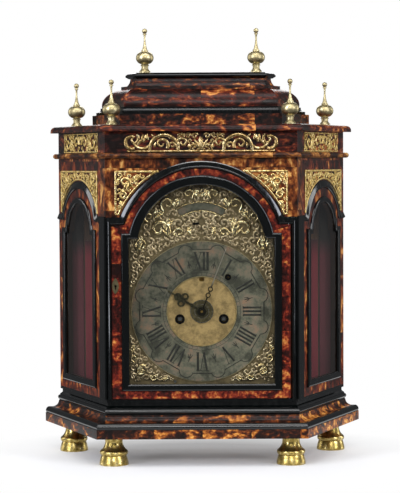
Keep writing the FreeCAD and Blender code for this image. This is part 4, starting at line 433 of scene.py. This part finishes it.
def scroll(x, z, radii, turns, widths, steps=16):  # a coil from outside in, angles in degrees
    stroke = []
    for share in shares(steps):
        reach = radii[0] * (radii[1] / radii[0]) ** share
        turn = math.radians(turns[0] + (turns[1] - turns[0]) * share)
        stroke.append((x + reach * math.cos(turn), z + reach * math.sin(turn),
                       widths[0] + (widths[1] - widths[0]) * share))
    return stroke


def rib(x, z, radius, turns, width, steps):  # a plain rib on part of a circle
    return scroll(x, z, (radius, radius), turns, (width, width), steps)


def bar(x0, z0, x1, z1, width):
    return [(x0, z0, width), (x1, z1, width)]


def archOf(x, z, across, rise, turns, widths, steps=20):  # a swelling part of an ellipse
    stroke = []
    for share in shares(steps):
        turn = math.radians(turns[0] + (turns[1] - turns[0]) * share)
        swell = widths[0] + (widths[1] - widths[0]) * math.sin(math.pi * share)
        stroke.append((x + across * math.cos(turn), z + rise * math.sin(turn), swell))
    return stroke


def blade(x, z, turn, length, bend, width, steps=5):  # one leaf lobe that bends as it grows
    stroke = []
    for share in shares(steps):
        stroke.append((x, z, 0.12 + width * math.sin(math.pi * (0.12 + 0.83 * share))))
        heading = math.radians(turn + bend * share)
        x += length / steps * math.cos(heading)
        z += length / steps * math.sin(heading)
    return stroke


lobed = {"steps": 8, "spread": 48, "bend": 45, "longest": 0.52, "shrink": 0.3, "width": 0.75}


def spray(x, z, turn, length, bend, width, lobes=4):  # a stalk with paired lobes on its length
    stalk = blade(x, z, turn, length, bend, width, lobed["steps"])
    strokes = [stalk]
    for lobe in range(1, lobes + 1):
        share = lobe / (lobes + 1)
        footX, footZ = stalk[round(share * lobed["steps"])][:2]
        for side in (-1, 1):
            strokes.append(blade(footX, footZ, turn + bend * share + side * lobed["spread"],
                                 length * (lobed["longest"] - lobed["shrink"] * share),
                                 -side * lobed["bend"], width * lobed["width"]))
    return strokes


def mirrorAcross(strokes, middle=0.0):
    return strokes + [[(2 * middle - x, z, w) for x, z, w in stroke] for stroke in strokes]


# Shares of the curl's radius, turns and bend in degrees, the leaf from this radius on in mm
curl = {"within": 0.85, "overlap": 0.86, "outer": 1.12, "inner": 0.22, "turns": (300, 430),
        "leafFrom": 2.4, "leaf": 1.3, "leafBend": 40, "leafWidth": 0.34}


def packCurls(m, corners, inside, taken):  # small coils packed into what the large ones leave
    chance = random.Random(m["seed"])
    (x0, z0), (x1, z1) = corners
    circles = list(taken)
    strokes = []
    for radius in m["curls"]:
        for attempt in range(m["tries"]):
            x, z = chance.uniform(x0, x1), chance.uniform(z0, z1)
            reach = curl["within"] * radius
            rim = [(x + reach * math.cos(k), z + reach * math.sin(k)) for k in range(7)]
            if not all(inside(*point) for point in rim):
                continue
            if any(math.hypot(x - cx, z - cz) < curl["overlap"] * (radius + cr)
                   for cx, cz, cr in circles):
                continue
            cx, cz, cr = min(circles, key=lambda c: math.hypot(c[0] - x, c[1] - z) - c[2])
            turn = math.degrees(math.atan2(cz - z, cx - x))
            way = chance.choice((-1, 1)) * chance.uniform(*curl["turns"])
            strokes.append(scroll(x, z, (radius * curl["outer"], radius * curl["inner"]),
                                  (turn, turn + way),
                                  (radius * 0.3 + 0.3, radius * 0.15 + 0.3), 11))
            if radius > curl["leafFrom"]:
                bow = 1 if way < 0 else -1
                strokes.append(blade(x + radius * math.cos(math.radians(turn)),
                                     z + radius * math.sin(math.radians(turn)),
                                     turn + 90 * bow, radius * curl["leaf"],
                                     curl["leafBend"] * bow, radius * curl["leafWidth"], 4))
            circles.append((x, z, radius))
    return strokes


# The rows of a mount's dictionary. coils: x, z, radii, turns, half widths, steps and the room
# kept round each; leaves and sprays: x, z, turn, length, bend, half width
def drawRows(m):
    strokes = [scroll(*row[:-1]) for row in m["coils"]]
    strokes += [archOf(*row) for row in m.get("arches", ())]
    for row in m.get("sprays", ()):
        strokes += spray(*row)
    strokes += [blade(*row) for row in m.get("leaves", ())]
    return strokes, [(row[0], row[1], row[-1]) for row in m["coils"] if row[-1]]


def newObject(name, data):
    made = bpy.data.objects.new(name, data)
    bpy.context.scene.collection.objects.link(made)
    return made


def toMesh(name, form):
    mesh = bpy.data.meshes.new(name)
    form.to_mesh(mesh)
    form.free()
    return mesh


def placeCopies(single, places, relief=1.0):  # one mesh at each place, with its faces outwards
    form = bmesh.new()
    for place in places:
        part = bmesh.new()
        part.from_mesh(single)
        bmesh.ops.scale(part, vec=(1, relief, 1), verts=part.verts)
        bmesh.ops.transform(part, matrix=place, verts=part.verts)
        bmesh.ops.recalc_face_normals(part, faces=part.faces)
        placed = toMesh("placed", part)
        form.from_mesh(placed)
        bpy.data.meshes.remove(placed)
    bpy.data.meshes.remove(single)
    for face in form.faces:
        face.smooth = True
    return form


def strokeMesh(name, strokes, relief, places, sides):  # flattened tapering tubes
    curve = bpy.data.curves.new("strokes", "CURVE")
    curve.dimensions = "3D"
    curve.bevel_depth = mm
    curve.bevel_resolution = sides
    curve.use_fill_caps = True
    for stroke in strokes:
        spline = curve.splines.new("POLY")
        spline.points.add(len(stroke) - 1)
        for point, (x, z, width) in zip(spline.points, stroke):
            point.co = (x * mm, 0, z * mm, 1)
            point.radius = width
    carrier = newObject("strokes", curve)
    flat = bpy.data.meshes.new_from_object(carrier)
    bpy.data.objects.remove(carrier)
    bpy.data.curves.remove(curve)
    return toMesh(name, placeCopies(flat, places, relief))


def newPiece(name, mesh, finish, stands=(), body="case"):
    piece = newObject(name, mesh)
    mesh.materials.append(finish)
    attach(piece, body)
    if stands:
        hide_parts(*stands)


corner = Matrix.Translation(at(frontHalf, frontDepth, 0))
canted = corner @ Matrix.Rotation(math.radians(cantAngle), 4, "Z")
bothSides = (canted, Matrix.Diagonal((-1, 1, 1, 1)) @ canted)
caseFront = Matrix.Translation(at(0, frontDepth, 0))
dialFront = Matrix.Translation(at(0, plateDepth, 0))


# m is the piece's dictionary: how flat its strokes are and how far out they stand
def fixMount(name, strokes, m, places, finish, stands=(), sides=2):
    places = [place @ Matrix.Translation((0, -m["out"] * mm, 0)) for place in places]
    mesh = strokeMesh(name, strokes, m["relief"], places, sides)
    newPiece(name, mesh, finish, stands)


# A moulding's section as shares of its width and rise: a steep inner side, a rounded top and a
# long slope outwards
railSection = [(0, 0), (0, 0.3), (0.06, 0.36), (0.1, 0.66), (0.14, 0.86), (0.2, 0.97)]
railSection += [(0.26 + 0.62 * k / 8, 1.0 - 0.78 * (k / 8) ** 1.15) for k in range(9)]
railSection += [(0.92, 0.2), (1, 0.16), (1, 0)]
sharpFrom = 32  # edges that turn more than this, in degrees, stay crisp


def betweenRails(name, rails, rise, places):  # the section drawn along two rails
    def spread(inner, outer):
        return [Vector((inner[0] + (outer[0] - inner[0]) * s, -rise * h,
                        inner[1] + (outer[1] - inner[1]) * s)) * mm for s, h in railSection]

    form = bmesh.new()
    here = spread(*rails[0])
    row = [form.verts.new(spot) for spot in here]
    edges = [form.edges.new((row[i - 1], row[i])) for i in range(len(row))]
    bmesh.ops.contextual_create(form, geom=edges)
    for inner, outer in rails[1:]:
        grown = bmesh.ops.extrude_edge_only(form, edges=edges)["geom"]
        edges = [g for g in grown if isinstance(g, bmesh.types.BMEdge)]
        there = spread(inner, outer)
        for vert in [g for g in grown if isinstance(g, bmesh.types.BMVert)]:
            nearest = min(range(len(here)), key=lambda i: (here[i] - vert.co).length)
            vert.co = there[nearest]
        here = there
    bmesh.ops.contextual_create(form, geom=edges)
    bmesh.ops.recalc_face_normals(form, faces=form.faces)
    form = placeCopies(toMesh("single", form), places)
    for edge in form.edges:
        edge.smooth = edge.calc_face_angle(0) < math.radians(sharpFrom)
    return toMesh(name, form)


def archRails(middle, centre, inner, outer, steps=40):  # inner and outer are (radius, shoulder)
    angles = [math.asin((shoulder - centre) / radius) for radius, shoulder in (inner, outer)]
    rails = []
    for step in range(steps + 1):
        pair = []
        for (radius, shoulder), angle in zip((inner, outer), angles):
            turn = angle + (math.pi - 2 * angle) * step / steps
            pair.append((middle + radius * math.cos(turn), centre + radius * math.sin(turn)))
        rails.append(pair)
    return rails


doorSurround = {"inner": 122.709, "outer": 130.209, "foot": 91.0, "innerArch": 110.009,
                "outerArch": 119.709, "innerShoulder": 329.3, "outerShoulder": 339.4,
                "rise": 3.0}


def makeSurround():
    m = doorSurround
    foot = ((m["inner"], m["foot"]), (m["outer"], m["foot"]))
    shoulder = ((m["inner"], m["innerShoulder"]), (m["outer"], m["outerShoulder"]))
    arch = archRails(0, archCentre, (m["innerArch"], m["innerShoulder"]),
                     (m["outerArch"], m["outerShoulder"]))
    left = [tuple((-x, z) for x, z in rail) for rail in (shoulder, foot)]
    mesh = betweenRails("surroundMoulding", [foot, shoulder] + arch + left, m["rise"],
                        [caseFront])
    newPiece("surroundMoulding", mesh, ebony, ["door_surround"])


sideHood = {"middle": 98.28, "centre": 313.0, "inner": 64.0, "outer": 75.0,
            "innerShoulder": 332.0, "outerShoulder": 340.5, "start": 17.0, "end": 179.5,
            "rise": 3.0}


def makeSideHoods():
    m = sideHood
    near, far = [((end, m["innerShoulder"]), (end, m["outerShoulder"]))
                 for end in (m["start"], m["end"])]
    arch = archRails(m["middle"], m["centre"], (m["inner"], m["innerShoulder"]),
                     (m["outer"], m["outerShoulder"]))
    mesh = betweenRails("sideHoods", [far] + arch + [near], m["rise"], bothSides)
    newPiece("sideHoods", mesh, ebony, ["side_arch_mouldings"])


friezeMount = {
    "low": 427.4, "high": 454.6, "half": 100, "border": 1.5, "relief": 0.5, "out": 0.6,
    "curls": (2.6, 2.0, 1.5), "curlHalf": 32, "tries": 60, "seed": 11,
    "coils": [(93.3, 441.4, (10.2, 7.4), (-112, 118), (3.4, 2.0), 24, 9.6),
              (90.6, 444.4, (7.4, 2.2), (118, 440), (2.4, 1.3), 18, 0),
              (53.5, 438.5, (10.0, 2.2), (215, -190), (2.5, 1.2), 20, 9.0),
              (38.5, 436.5, (5.4, 1.6), (-20, 350), (1.9, 1.0), 16, 5.0),
              (24.5, 440, (9.4, 2.0), (-40, 400), (2.4, 1.2), 20, 8.6),
              (8.5, 449, (4.6, 1.4), (160, -240), (1.7, 1.0), 16, 4.2)],
    "arches": [(79, 452.5, 15.5, 20.6, (-146, -34), (1.6, 2.6)),
               (50, 431, 19.2, 20.2, (-8, 188), (2.0, 3.0))],
    "leaves": [(86, 437, 120, 13, 45, 2.1), (78.5, 441, 75, 11, 40, 2.0),
               (77.5, 441, 118, 11, -40, 2.0), (71, 444, 60, 9, 50, 1.8),
               (62, 433, 75, 8, 50, 1.7), (43, 446, 120, 6, -70, 1.4),
               (33, 431, 120, 14, -60, 2.0), (30, 452, 190, 10, 50, 1.7),
               (14, 431, 60, 8, 60, 1.7), (67, 452, 240, 7, -50, 1.3)],
}


def makeFriezeMount():
    m = friezeMount
    strokes, taken = drawRows(m)
    strokes += [blade(0.8 + 1.6 * k, 431 + 1.5 * k, 88 - 22 * k, 17 - 2.5 * k, -12 * k, 1.7)
                for k in range(4)]  # half the palmette
    strokes += packCurls(m, [(0, m["low"]), (m["curlHalf"], m["high"])],
                         lambda x, z: m["low"] + 2 < z < m["high"], taken)
    foot = m["low"] + 1.2
    strokes = mirrorAcross(strokes) + [bar(-m["half"], foot, m["half"], foot, m["border"])]
    fixMount("friezeMount", strokes, m, [caseFront], friezeGiltPaintedShade, ["front_frieze_mount"])


sideFriezeMount = {
    "start": 25.0, "end": 154.5, "low": 428.0, "high": 453.6, "relief": 0.55, "out": 0.5,
    "border": 1.0, "endBorder": 0.7, "bow": 2.5,
    "curls": (4.0, 2.8, 1.9), "tries": 260, "seed": 12,
    "coils": [(105.75, 440.8, (11.0, 2.2), (190, -200), (2.6, 1.3), 18, 11.5),
              (137.75, 440.8, (11.0, 2.2), (170, 560), (2.6, 1.3), 18, 11.5)],
    "sprays": [(120.75, 431, 60, 15, 60, 1.5), (91.75, 450.6, -50, 12, 50, 1.4)],
}


def makeSideFriezeMounts():
    m = sideFriezeMount
    start, end, low, high, thin = m["start"], m["end"], m["low"], m["high"], m["endBorder"]
    middle = (start + end) / 2
    strokes, taken = drawRows(m)
    strokes += packCurls(m, [(middle, low + 1), (end, high - 1)],
                         lambda x, z: middle < x < end and low < z < high, taken)
    strokes = mirrorAcross(strokes, middle)
    strokes += [bar(start, edge, end, edge, m["border"]) for edge in (low + 0.3, high - 0.3)]
    strokes += [[(edge, low, thin), (edge + bow, (low + high) / 2, thin), (edge, high, thin)]
                for edge, bow in ((start, m["bow"]), (end, -m["bow"]))]
    fixMount("sideFriezeMounts", strokes, m, bothSides, sideGiltPaintedLight, ["side_frieze_mounts"])


cornerMount = {
    "middle": 0, "end": 116.7, "foot": 343.2, "head": 401.8, "centre": archCentre,
    "arch": 120.8, "archGap": 2.4, "gap": 2, "footGap": 1, "relief": 0.55, "out": 0.6,
    "archBorder": 1.3, "border": 1.4, "inset": 0.5, "footBorder": 1.1, "footInset": 0.3,
    "curls": (3.6, 2.6, 1.8), "curlFrom": 70, "tries": 500, "seed": 13,
    "coils": [(103.5, 387, (8.6, 2.2), (250, -180), (2.8, 1.4), 16, 8.6),
              (107, 369, (6.0, 1.8), (80, 480), (2.3, 1.2), 16, 6.0),
              (87, 394, (5.2, 1.6), (10, -380), (2.1, 1.2), 16, 5.2),
              (111, 354, (3.6, 1.2), (90, 440), (1.6, 1.0), 16, 3.6)],
    "sprays": [(104, 378, 100, 11, 50, 1.7, 4), (95, 391, 170, 11, -40, 1.6, 4),
               (110, 362, 250, 10, 30, 1.5, 4), (112, 392, 280, 9, 30, 1.4, 3)],
}
sideCornerMount = {
    "middle": 98.28, "end": 168.0, "foot": 343.4, "head": 401.6, "centre": 312.9,
    "arch": 76.0, "archGap": 2.2, "gap": 1.5, "footGap": 0, "relief": 0.55, "out": 0.6,
    "archBorder": 1.4, "border": 1.5, "inset": 0.6, "footBorder": 1.2, "footInset": 0.4,
    "curls": (3.8, 2.7, 1.9), "curlFrom": 98.28, "tries": 600, "seed": 14,
    "coils": [(153, 389, (8.0, 2.0), (250, -180), (2.5, 1.3), 16, 8.0),
              (160, 372, (5.4, 1.5), (80, 480), (2.0, 1.1), 16, 5.4),
              (134, 394, (5.4, 1.5), (10, -380), (2.0, 1.1), 16, 5.4)],
    "sprays": [(163, 363, 250, 10, 30, 1.0, 3), (121, 396, 170, 9, -20, 1.0, 3)],
}


def makeCornerMounts(name, m, places, finish, stands):  # between an arch and the panel's corner
    middle, centre, end = m["middle"], m["centre"], m["end"]
    foot, head, arch = m["foot"], m["head"], m["arch"]

    def within(x, z):
        return (math.hypot(x - middle, z - centre) > arch + m["archGap"]
                and x < end - m["gap"] and foot + m["footGap"] < z < head - m["gap"])

    turns = [math.degrees(math.asin(min(1, (edge - centre) / arch))) for edge in (foot, head)]
    footFrom, headFrom = [middle + arch * math.cos(math.radians(turn)) for turn in turns]
    side, top, low = end - m["inset"], head - m["inset"], foot + m["footInset"]
    strokes, taken = drawRows(m)
    strokes += [rib(middle, centre, arch + m["archBorder"], turns, m["archBorder"], 24),
                bar(side, foot, side, head, m["border"]),
                bar(headFrom, top, end, top, m["border"]),
                bar(footFrom, low, end, low, m["footBorder"])]
    strokes += packCurls(m, [(m["curlFrom"], foot), (end, head)], within, taken)
    fixMount(name, mirrorAcross(strokes, middle), m, places, finish, stands)


dialMounts = {"ring": 97.8, "arch": 88.6, "half": 99.5, "foot": 113.0, "shoulder": 311.0,
              "plaqueInner": 52.3, "plaqueOuter": 63.4, "plaqueAngle": 33.0, "border": 0.8,
              "relief": 1.0, "out": 1.5}
dialLeaves = {"relief": 0.7, "out": 0.7}
dialArch = {
    "curls": (5.6, 4.4, 3.3, 2.4, 1.8), "curlFrom": 240, "tries": 1500, "seed": 15,
    "coils": [(58, 322, (15.5, 3.0), (200, -230), (3.1, 1.5), 24, 14.0),
              (46, 357, (12.0, 2.6), (-60, 330), (2.6, 1.3), 22, 11.5),
              (18, 371, (9.0, 2.2), (230, -170), (2.3, 1.2), 20, 9.0),
              (84, 300, (9.0, 2.2), (100, 470), (2.2, 1.1), 20, 8.5),
              (30, 318, (8.0, 2.2), (-30, 330), (2.0, 1.1), 18, 7.6),
              (72, 340, (7.5, 2.0), (-80, 300), (2.0, 1.1), 18, 7.2)],
    "sprays": [(44, 312, 65, 24, 70, 2.4, 5), (66, 335, 120, 20, 40, 2.0, 4),
               (35, 348, 80, 18, 60, 1.8, 4), (88, 290, 95, 22, 25, 2.0, 4),
               (14, 312, 60, 14, 40, 1.5, 3), (6, 362, 75, 16, 30, 1.6, 4)],
    "leaves": [(0, 366, 90, 15, 0, 1.4), (0, 366, 66, 13, -14, 1.4),
               (0, 366, 42, 11, -28, 1.4)],
}
dialCorner = {
    "curls": (4.6, 3.4, 2.5, 1.9), "curlFrom": 40, "head": 178, "tries": 900, "seed": 16,
    "coils": [(83, 128, (9.0, 2.2), (130, -290), (2.4, 1.2), 20, 9.0),
              (93, 146, (5.6, 1.7), (-90, 290), (1.8, 1.0), 16, 5.6),
              (66, 119, (5.0, 1.6), (0, -380), (1.7, 1.0), 16, 5.0)],
    "sprays": [(91, 120, 130, 17, -40, 1.7, 4), (96, 152, 95, 12, 10, 1.2, 3),
               (57, 116, 170, 11, -10, 1.1, 3)],
}


def makeDialMounts():
    m = dialMounts

    def offRing(x, z):
        return math.hypot(x, z - dialCentre) > m["ring"]

    def onArch(x, z):
        reach = math.hypot(x, z - archCentre)
        turn = abs(math.degrees(math.atan2(x, z - archCentre)))
        plaque = m["plaqueInner"] < reach < m["plaqueOuter"] and turn < m["plaqueAngle"]
        inArch = reach < m["arch"] - 1 if z > m["shoulder"] else x < m["half"] - 1
        return x > 0.5 and inArch and not plaque and offRing(x, z)

    def inCorner(x, z):
        return offRing(x, z) and abs(x) < m["half"] - 0.6 and z > m["foot"] + 0.6

    strokes, taken = drawRows(dialArch)
    ground = packCurls(dialArch, [(0, dialArch["curlFrom"]), (m["half"], archCentre + m["arch"])],
                       onArch, taken)
    plaque = (90 - m["plaqueAngle"], 90)
    strokes += [rib(0, archCentre, m["arch"] - 0.8, (10.5, 90), m["border"], 24),
                rib(0, archCentre, m["plaqueOuter"] + 0.6, plaque, m["border"], 14),
                rib(0, archCentre, m["plaqueInner"] - 0.6, plaque, m["border"], 14)]
    low, taken = drawRows(dialCorner)
    strokes += low
    ground += packCurls(dialCorner, [(dialCorner["curlFrom"], m["foot"]),
                                     (m["half"], dialCorner["head"])], inCorner, taken)
    fixMount("dialMounts", mirrorAcross(strokes), m, [dialFront], dialGilt, ["dial_foliage"])
    fixMount("dialLeaves", mirrorAcross(ground), dialLeaves, [dialFront], dialGiltPaintedShade)


numerals = ["XII", "I", "II", "III", "IIII", "V", "VI", "VII", "VIII", "IX", "X", "XI"]
chapter = {
    "foot": 56.5, "head": 81.0, "thick": 1.55, "thin": 0.5, "serif": 0.5, "serifHalf": 2.2,
    "advance": {"I": 5.0, "V": 11.5, "X": 11.5},
    "capital": 85.0, "capitalPoints": (-12.6, -6, 0, 6, 12.6), "lobe": 92.8, "lobeFrom": 8.4,
    "lobeSpan": 13.2, "minute": (93.4, 95.6), "quarter": (48.9, 53.0),
    "circles": [(53.4, 0.28), (48.8, 0.25), (96.0, 0.25)],
    "halfHour": [[(60, 0.4, 0), (66, 1.0, 0), (72, 0.3, 0)],
                 [(61, 0.3, -3), (66, 0.9, -1.6), (66, 0.4, 0)],
                 [(61, 0.3, 3), (66, 0.9, 1.6), (66, 0.4, 0)]],
    "relief": 0.12, "out": 1.55,
}


def mark(radius, turn, half, across=0.0):  # a stroke's point on the dial, clockwise from XII
    angle = math.radians(turn)
    return (radius * math.sin(angle) + across * math.cos(angle),
            dialCentre + radius * math.cos(angle) - across * math.sin(angle), half)


def drawNumeral(word, turn):  # its feet point to the middle of the dial
    m = chapter
    thick, thin, serif = m["thick"], m["thin"], m["serif"]
    strokes = []
    across = -sum(m["advance"][letter] for letter in word) / 2
    for letter in word:
        width = m["advance"][letter]
        left, right, middle = across + 1.0, across + width - 1.0, across + width / 2
        legs = {"I": [(middle, middle, thick)],
                "V": [(middle, left + 0.6, thick), (middle, right - 0.4, thin)],
                "X": [(right - 0.6, left + 0.6, thick), (left + 0.4, right - 0.4, thin)]}
        for foot, head, half in legs[letter]:
            strokes.append([mark(m["foot"], turn, half, foot), mark(m["head"], turn, half, head)])
            ends = [(m["head"], head)] + ([(m["foot"], foot)] if letter != "V" else [])
            for radius, place in ends:
                strokes.append([mark(radius, turn, serif, place + side * m["serifHalf"])
                                for side in (-1, 1)])
        across += width
    return strokes


def makeNumerals():
    m = chapter
    strokes = []
    for hour, word in enumerate(numerals):
        turn = 30 * hour
        strokes += drawNumeral(word, turn)
        strokes.append([mark(m["capital"], turn, 0.7, edge) for edge in m["capitalPoints"]])
        arch = []
        for share in shares(12):
            lift = math.sin(math.pi * share) ** 0.6
            arch.append(mark(m["capital"] + 0.7 + (m["lobe"] - m["capital"]) * lift,
                             turn + m["lobeFrom"] + m["lobeSpan"] * share, 0.65))
        strokes.append(arch)
        strokes += [[mark(radius, turn + 15, half, across) for radius, half, across in stroke]
                    for stroke in m["halfHour"]]
    strokes += [[mark(radius, 6 * minute, 0.22) for radius in m["minute"]]
                for minute in range(60)]
    strokes += [[mark(radius, 7.5 * quarter, 0.25) for radius in m["quarter"]]
                for quarter in range(48)]
    strokes += [[mark(radius, 5 * step, half) for step in range(73)]
                for radius, half in m["circles"]]
    fixMount("numerals", strokes, m, [dialFront], blackWax, (), 1)


def ringBand(name, inner, outer, depth, thickness, x, z):  # a turned flat ring on the dial
    form = bmesh.new()
    start = [form.verts.new((r * mm, y * mm, 0)) for r, y in
             ((inner, 0), (outer, 0), (outer, -thickness), (inner, -thickness))]
    edges = [form.edges.new((start[i], start[(i + 1) % 4])) for i in range(4)]
    bmesh.ops.spin(form, geom=start + edges, cent=(0, 0, 0), axis=(0, 1, 0),
                   angle=2 * math.pi, steps=64, use_merge=True)
    bmesh.ops.remove_doubles(form, verts=form.verts, dist=1e-7)
    bmesh.ops.recalc_face_normals(form, faces=form.faces)
    bmesh.ops.transform(form, matrix=Matrix.Translation(at(x, depth, z)), verts=form.verts)
    return toMesh(name, form)


lever = {"strokes": [[(-12.2, 329.6, 1.5), (-3.0, 330.2, 1.7)],
                     [(-9.6, 331.0, 0.9), (-8.6, 327.6, 0.9)]], "relief": 0.5, "out": 2.4}
windingHeight = dialCentre - 10.7
ringDepth = plateDepth - 1.5  # the chapter ring's front
dialTrim = [  # inner and outer radius, depth, thickness, x and z, then the finish and the slot
    ("windingRimLeft", (3.7, 6.8, plateDepth, 0.3, -30, windingHeight), darkSteel, "blued_steel"),
    ("windingRimRight", (3.7, 6.8, plateDepth, 0.3, 30, windingHeight), darkSteel, "blued_steel"),
    ("alarmArborRim", (1.6, 4.3, ringDepth, 0.2, 36, dialCentre + 46.7), darkSteel,
     "blued_steel"),
    ("strikeLever", None, darkSteel, "blued_steel"),
    ("dialScrew", (0.2, 1.9, plateDepth, 0.7, -36.9, 113.6), brightSteel, "bright_steel"),
    ("innerRim", (47.2, 48.3, plateDepth, 1.2, 0, dialCentre), turnedBrass, "matted_brass"),
    ("outerRim", (95.9, 96.4, ringDepth, 0.15, 0, dialCentre), turnedBrass, "matted_brass"),
]
alarmRims = {"alarmRim15": (15.2, 15.7, ringDepth, 0.12, 0, dialCentre),
             "alarmRim9": (9.4, 9.9, ringDepth, 0.12, 0, dialCentre)}


def makeDialTrim():
    for name, ring, finish, slot in dialTrim:
        if ring:
            newPiece(name, ringBand(name, *ring), finish)
        else:
            fixMount(name, lever["strokes"], lever, [dialFront], finish, ())
    for name, ring in alarmRims.items():  # these turn with the disc
        newPiece(name, ringBand(name, *ring), brightSteel, (), "hour_pipe")


makeSurround()
makeSideHoods()
makeFriezeMount()
makeSideFriezeMounts()
makeCornerMounts("cornerMounts", cornerMount, [caseFront], giltBrass, ["front_spandrel_mounts"])
makeCornerMounts("sideCornerMounts", sideCornerMount, bothSides, sideGiltPaintedLight,
                 ["side_spandrel_mounts"])
print("case mounts made")
makeDialMounts()
makeNumerals()
makeDialTrim()
print("dial dressed")


# Stage, camera and light


stage = {"half": 0.46, "oval": (0.72, 1, 0), "shadowTo": 0.12, "whiteFrom": 0.27, "least": 0.12}


def makeStage():  # white to the eye and in reflections, shaded only under and round the clock
    form = bmesh.new()
    bmesh.ops.create_grid(form, x_segments=1, y_segments=1, size=stage["half"])
    mesh = toMesh("floor", form)
    floor = newObject("floor", mesh)
    material, tree, shader, place = newMaterial("paper",
                                                {"Base Color": grey(0.9), "Roughness": 0.9})
    oval = addNode(tree, "Mapping", {"Scale": stage["oval"]}, place)
    away = addNode(tree, "VectorMath LENGTH", {}, {0: (oval, "Vector")})
    far = addNode(tree, "MapRange",
                  {"From Min": stage["shadowTo"], "From Max": stage["whiteFrom"],
                   "To Min": stage["least"]}, {"Value": (away, "Value")})
    path = addNode(tree, "LightPath")
    seen = addNode(tree, "Math MAXIMUM", {},
                   {0: (path, "Is Camera Ray"), 1: (path, "Is Glossy Ray")})
    seen = addNode(tree, "Math MAXIMUM", {},
                   {0: (seen, "Value"), 1: (path, "Is Transmission Ray")})
    seen = addNode(tree, "Math MULTIPLY", {}, {0: (seen, "Value"), 1: (far, "Result")})
    white = addNode(tree, "Emission", {"Color": grey(1.0), "Strength": 1.0})
    both = addNode(tree, "MixShader",
                   links={"Fac": (seen, "Value"), 1: (shader, 0), 2: (white, 0)})
    link(tree, tree.nodes["Material Output"], {"Surface": (both, 0)})
    mesh.materials.append(material)


view = {"focal": 1786, "frame": 493, "sensor": 36.0, "place": (-2.0, -2400, 412.5),
        "down": 2.677, "roll": -0.3}  # focal length and frame in pixels, angles in degrees


def makeCamera():
    data = bpy.data.cameras.new("camera")
    data.sensor_width = view["sensor"]
    data.lens = view["sensor"] * view["focal"] / view["frame"]
    camera = newObject("camera", data)
    camera.location = at(*view["place"])
    tilt = Matrix.Rotation(math.radians(90 - view["down"]), 4, "X")
    roll = Matrix.Rotation(math.radians(view["roll"]), 4, "Z")
    camera.rotation_euler = (tilt @ roll).to_euler()
    bpy.context.scene.camera = camera


lamps = {  # place, aim, size in metres, watts and tint
    "windowLeft": ((-1.6, -1.5, 1.1), (0, 0, 0.3), (0.55, 1.9), 36, "#f0f4ff"),
    "windowRight": ((1.7, -1.5, 1.1), (0, 0, 0.3), (0.5, 1.7), 27, "#f0f4ff"),
    "overhead": ((0, -0.9, 2.2), (0, 0, 0.2), (2.2, 0.9), 27, "#ffffff"),
    "frontFill": ((0.2, -2.9, 1.5), (0, 0, 0.25), (1.2, 0.5), 24, "#ffffff"),
    "rearFill": ((0, 2.6, 1.6), (0, 0, 0.25), (1.6, 0.8), 20, "#ffffff"),
    "sideLeft": ((-2.1, 0.7, 0.8), (0, 0, 0.3), (0.6, 1.6), 11, "#ffffff"),
    "sideRight": ((2.1, 0.7, 0.8), (0, 0, 0.3), (0.6, 1.6), 11, "#ffffff"),
}


def makeLamps():
    for name, (place, aim, size, power, tint) in lamps.items():
        data = bpy.data.lights.new(name, "AREA")
        data.shape = "RECTANGLE"
        data.size, data.size_y = size
        data.energy = power
        data.color = colour(tint)[:3]
        light = newObject(name, data)
        light.location = place
        light.rotation_euler = (Vector(aim) - Vector(place)).to_track_quat("-Z", "Y").to_euler()


def makeWorld():  # white behind everything, and a dim even light on it
    world = bpy.data.worlds.new("world")
    world.use_nodes = True
    tree = world.node_tree
    tree.nodes.clear()
    path = addNode(tree, "LightPath")
    dim = addNode(tree, "Background", {"Color": colour("#f4f6fa"), "Strength": 0.13})
    white = addNode(tree, "Background", {"Color": grey(1.0), "Strength": 1.0})
    seen = addNode(tree, "Math MAXIMUM", {},
                   {0: (path, "Is Camera Ray"), 1: (path, "Is Transmission Ray")})
    mixed = addNode(tree, "MixShader", links={"Fac": (seen, "Value"), 1: (dim, 0), 2: (white, 0)})
    addNode(tree, "OutputWorld", links={"Surface": (mixed, 0)})
    bpy.context.scene.world = world
    bpy.context.scene.view_settings.view_transform = "Standard"


makeStage()
makeCamera()
makeWorld()
makeLamps()
print("stage and light made")
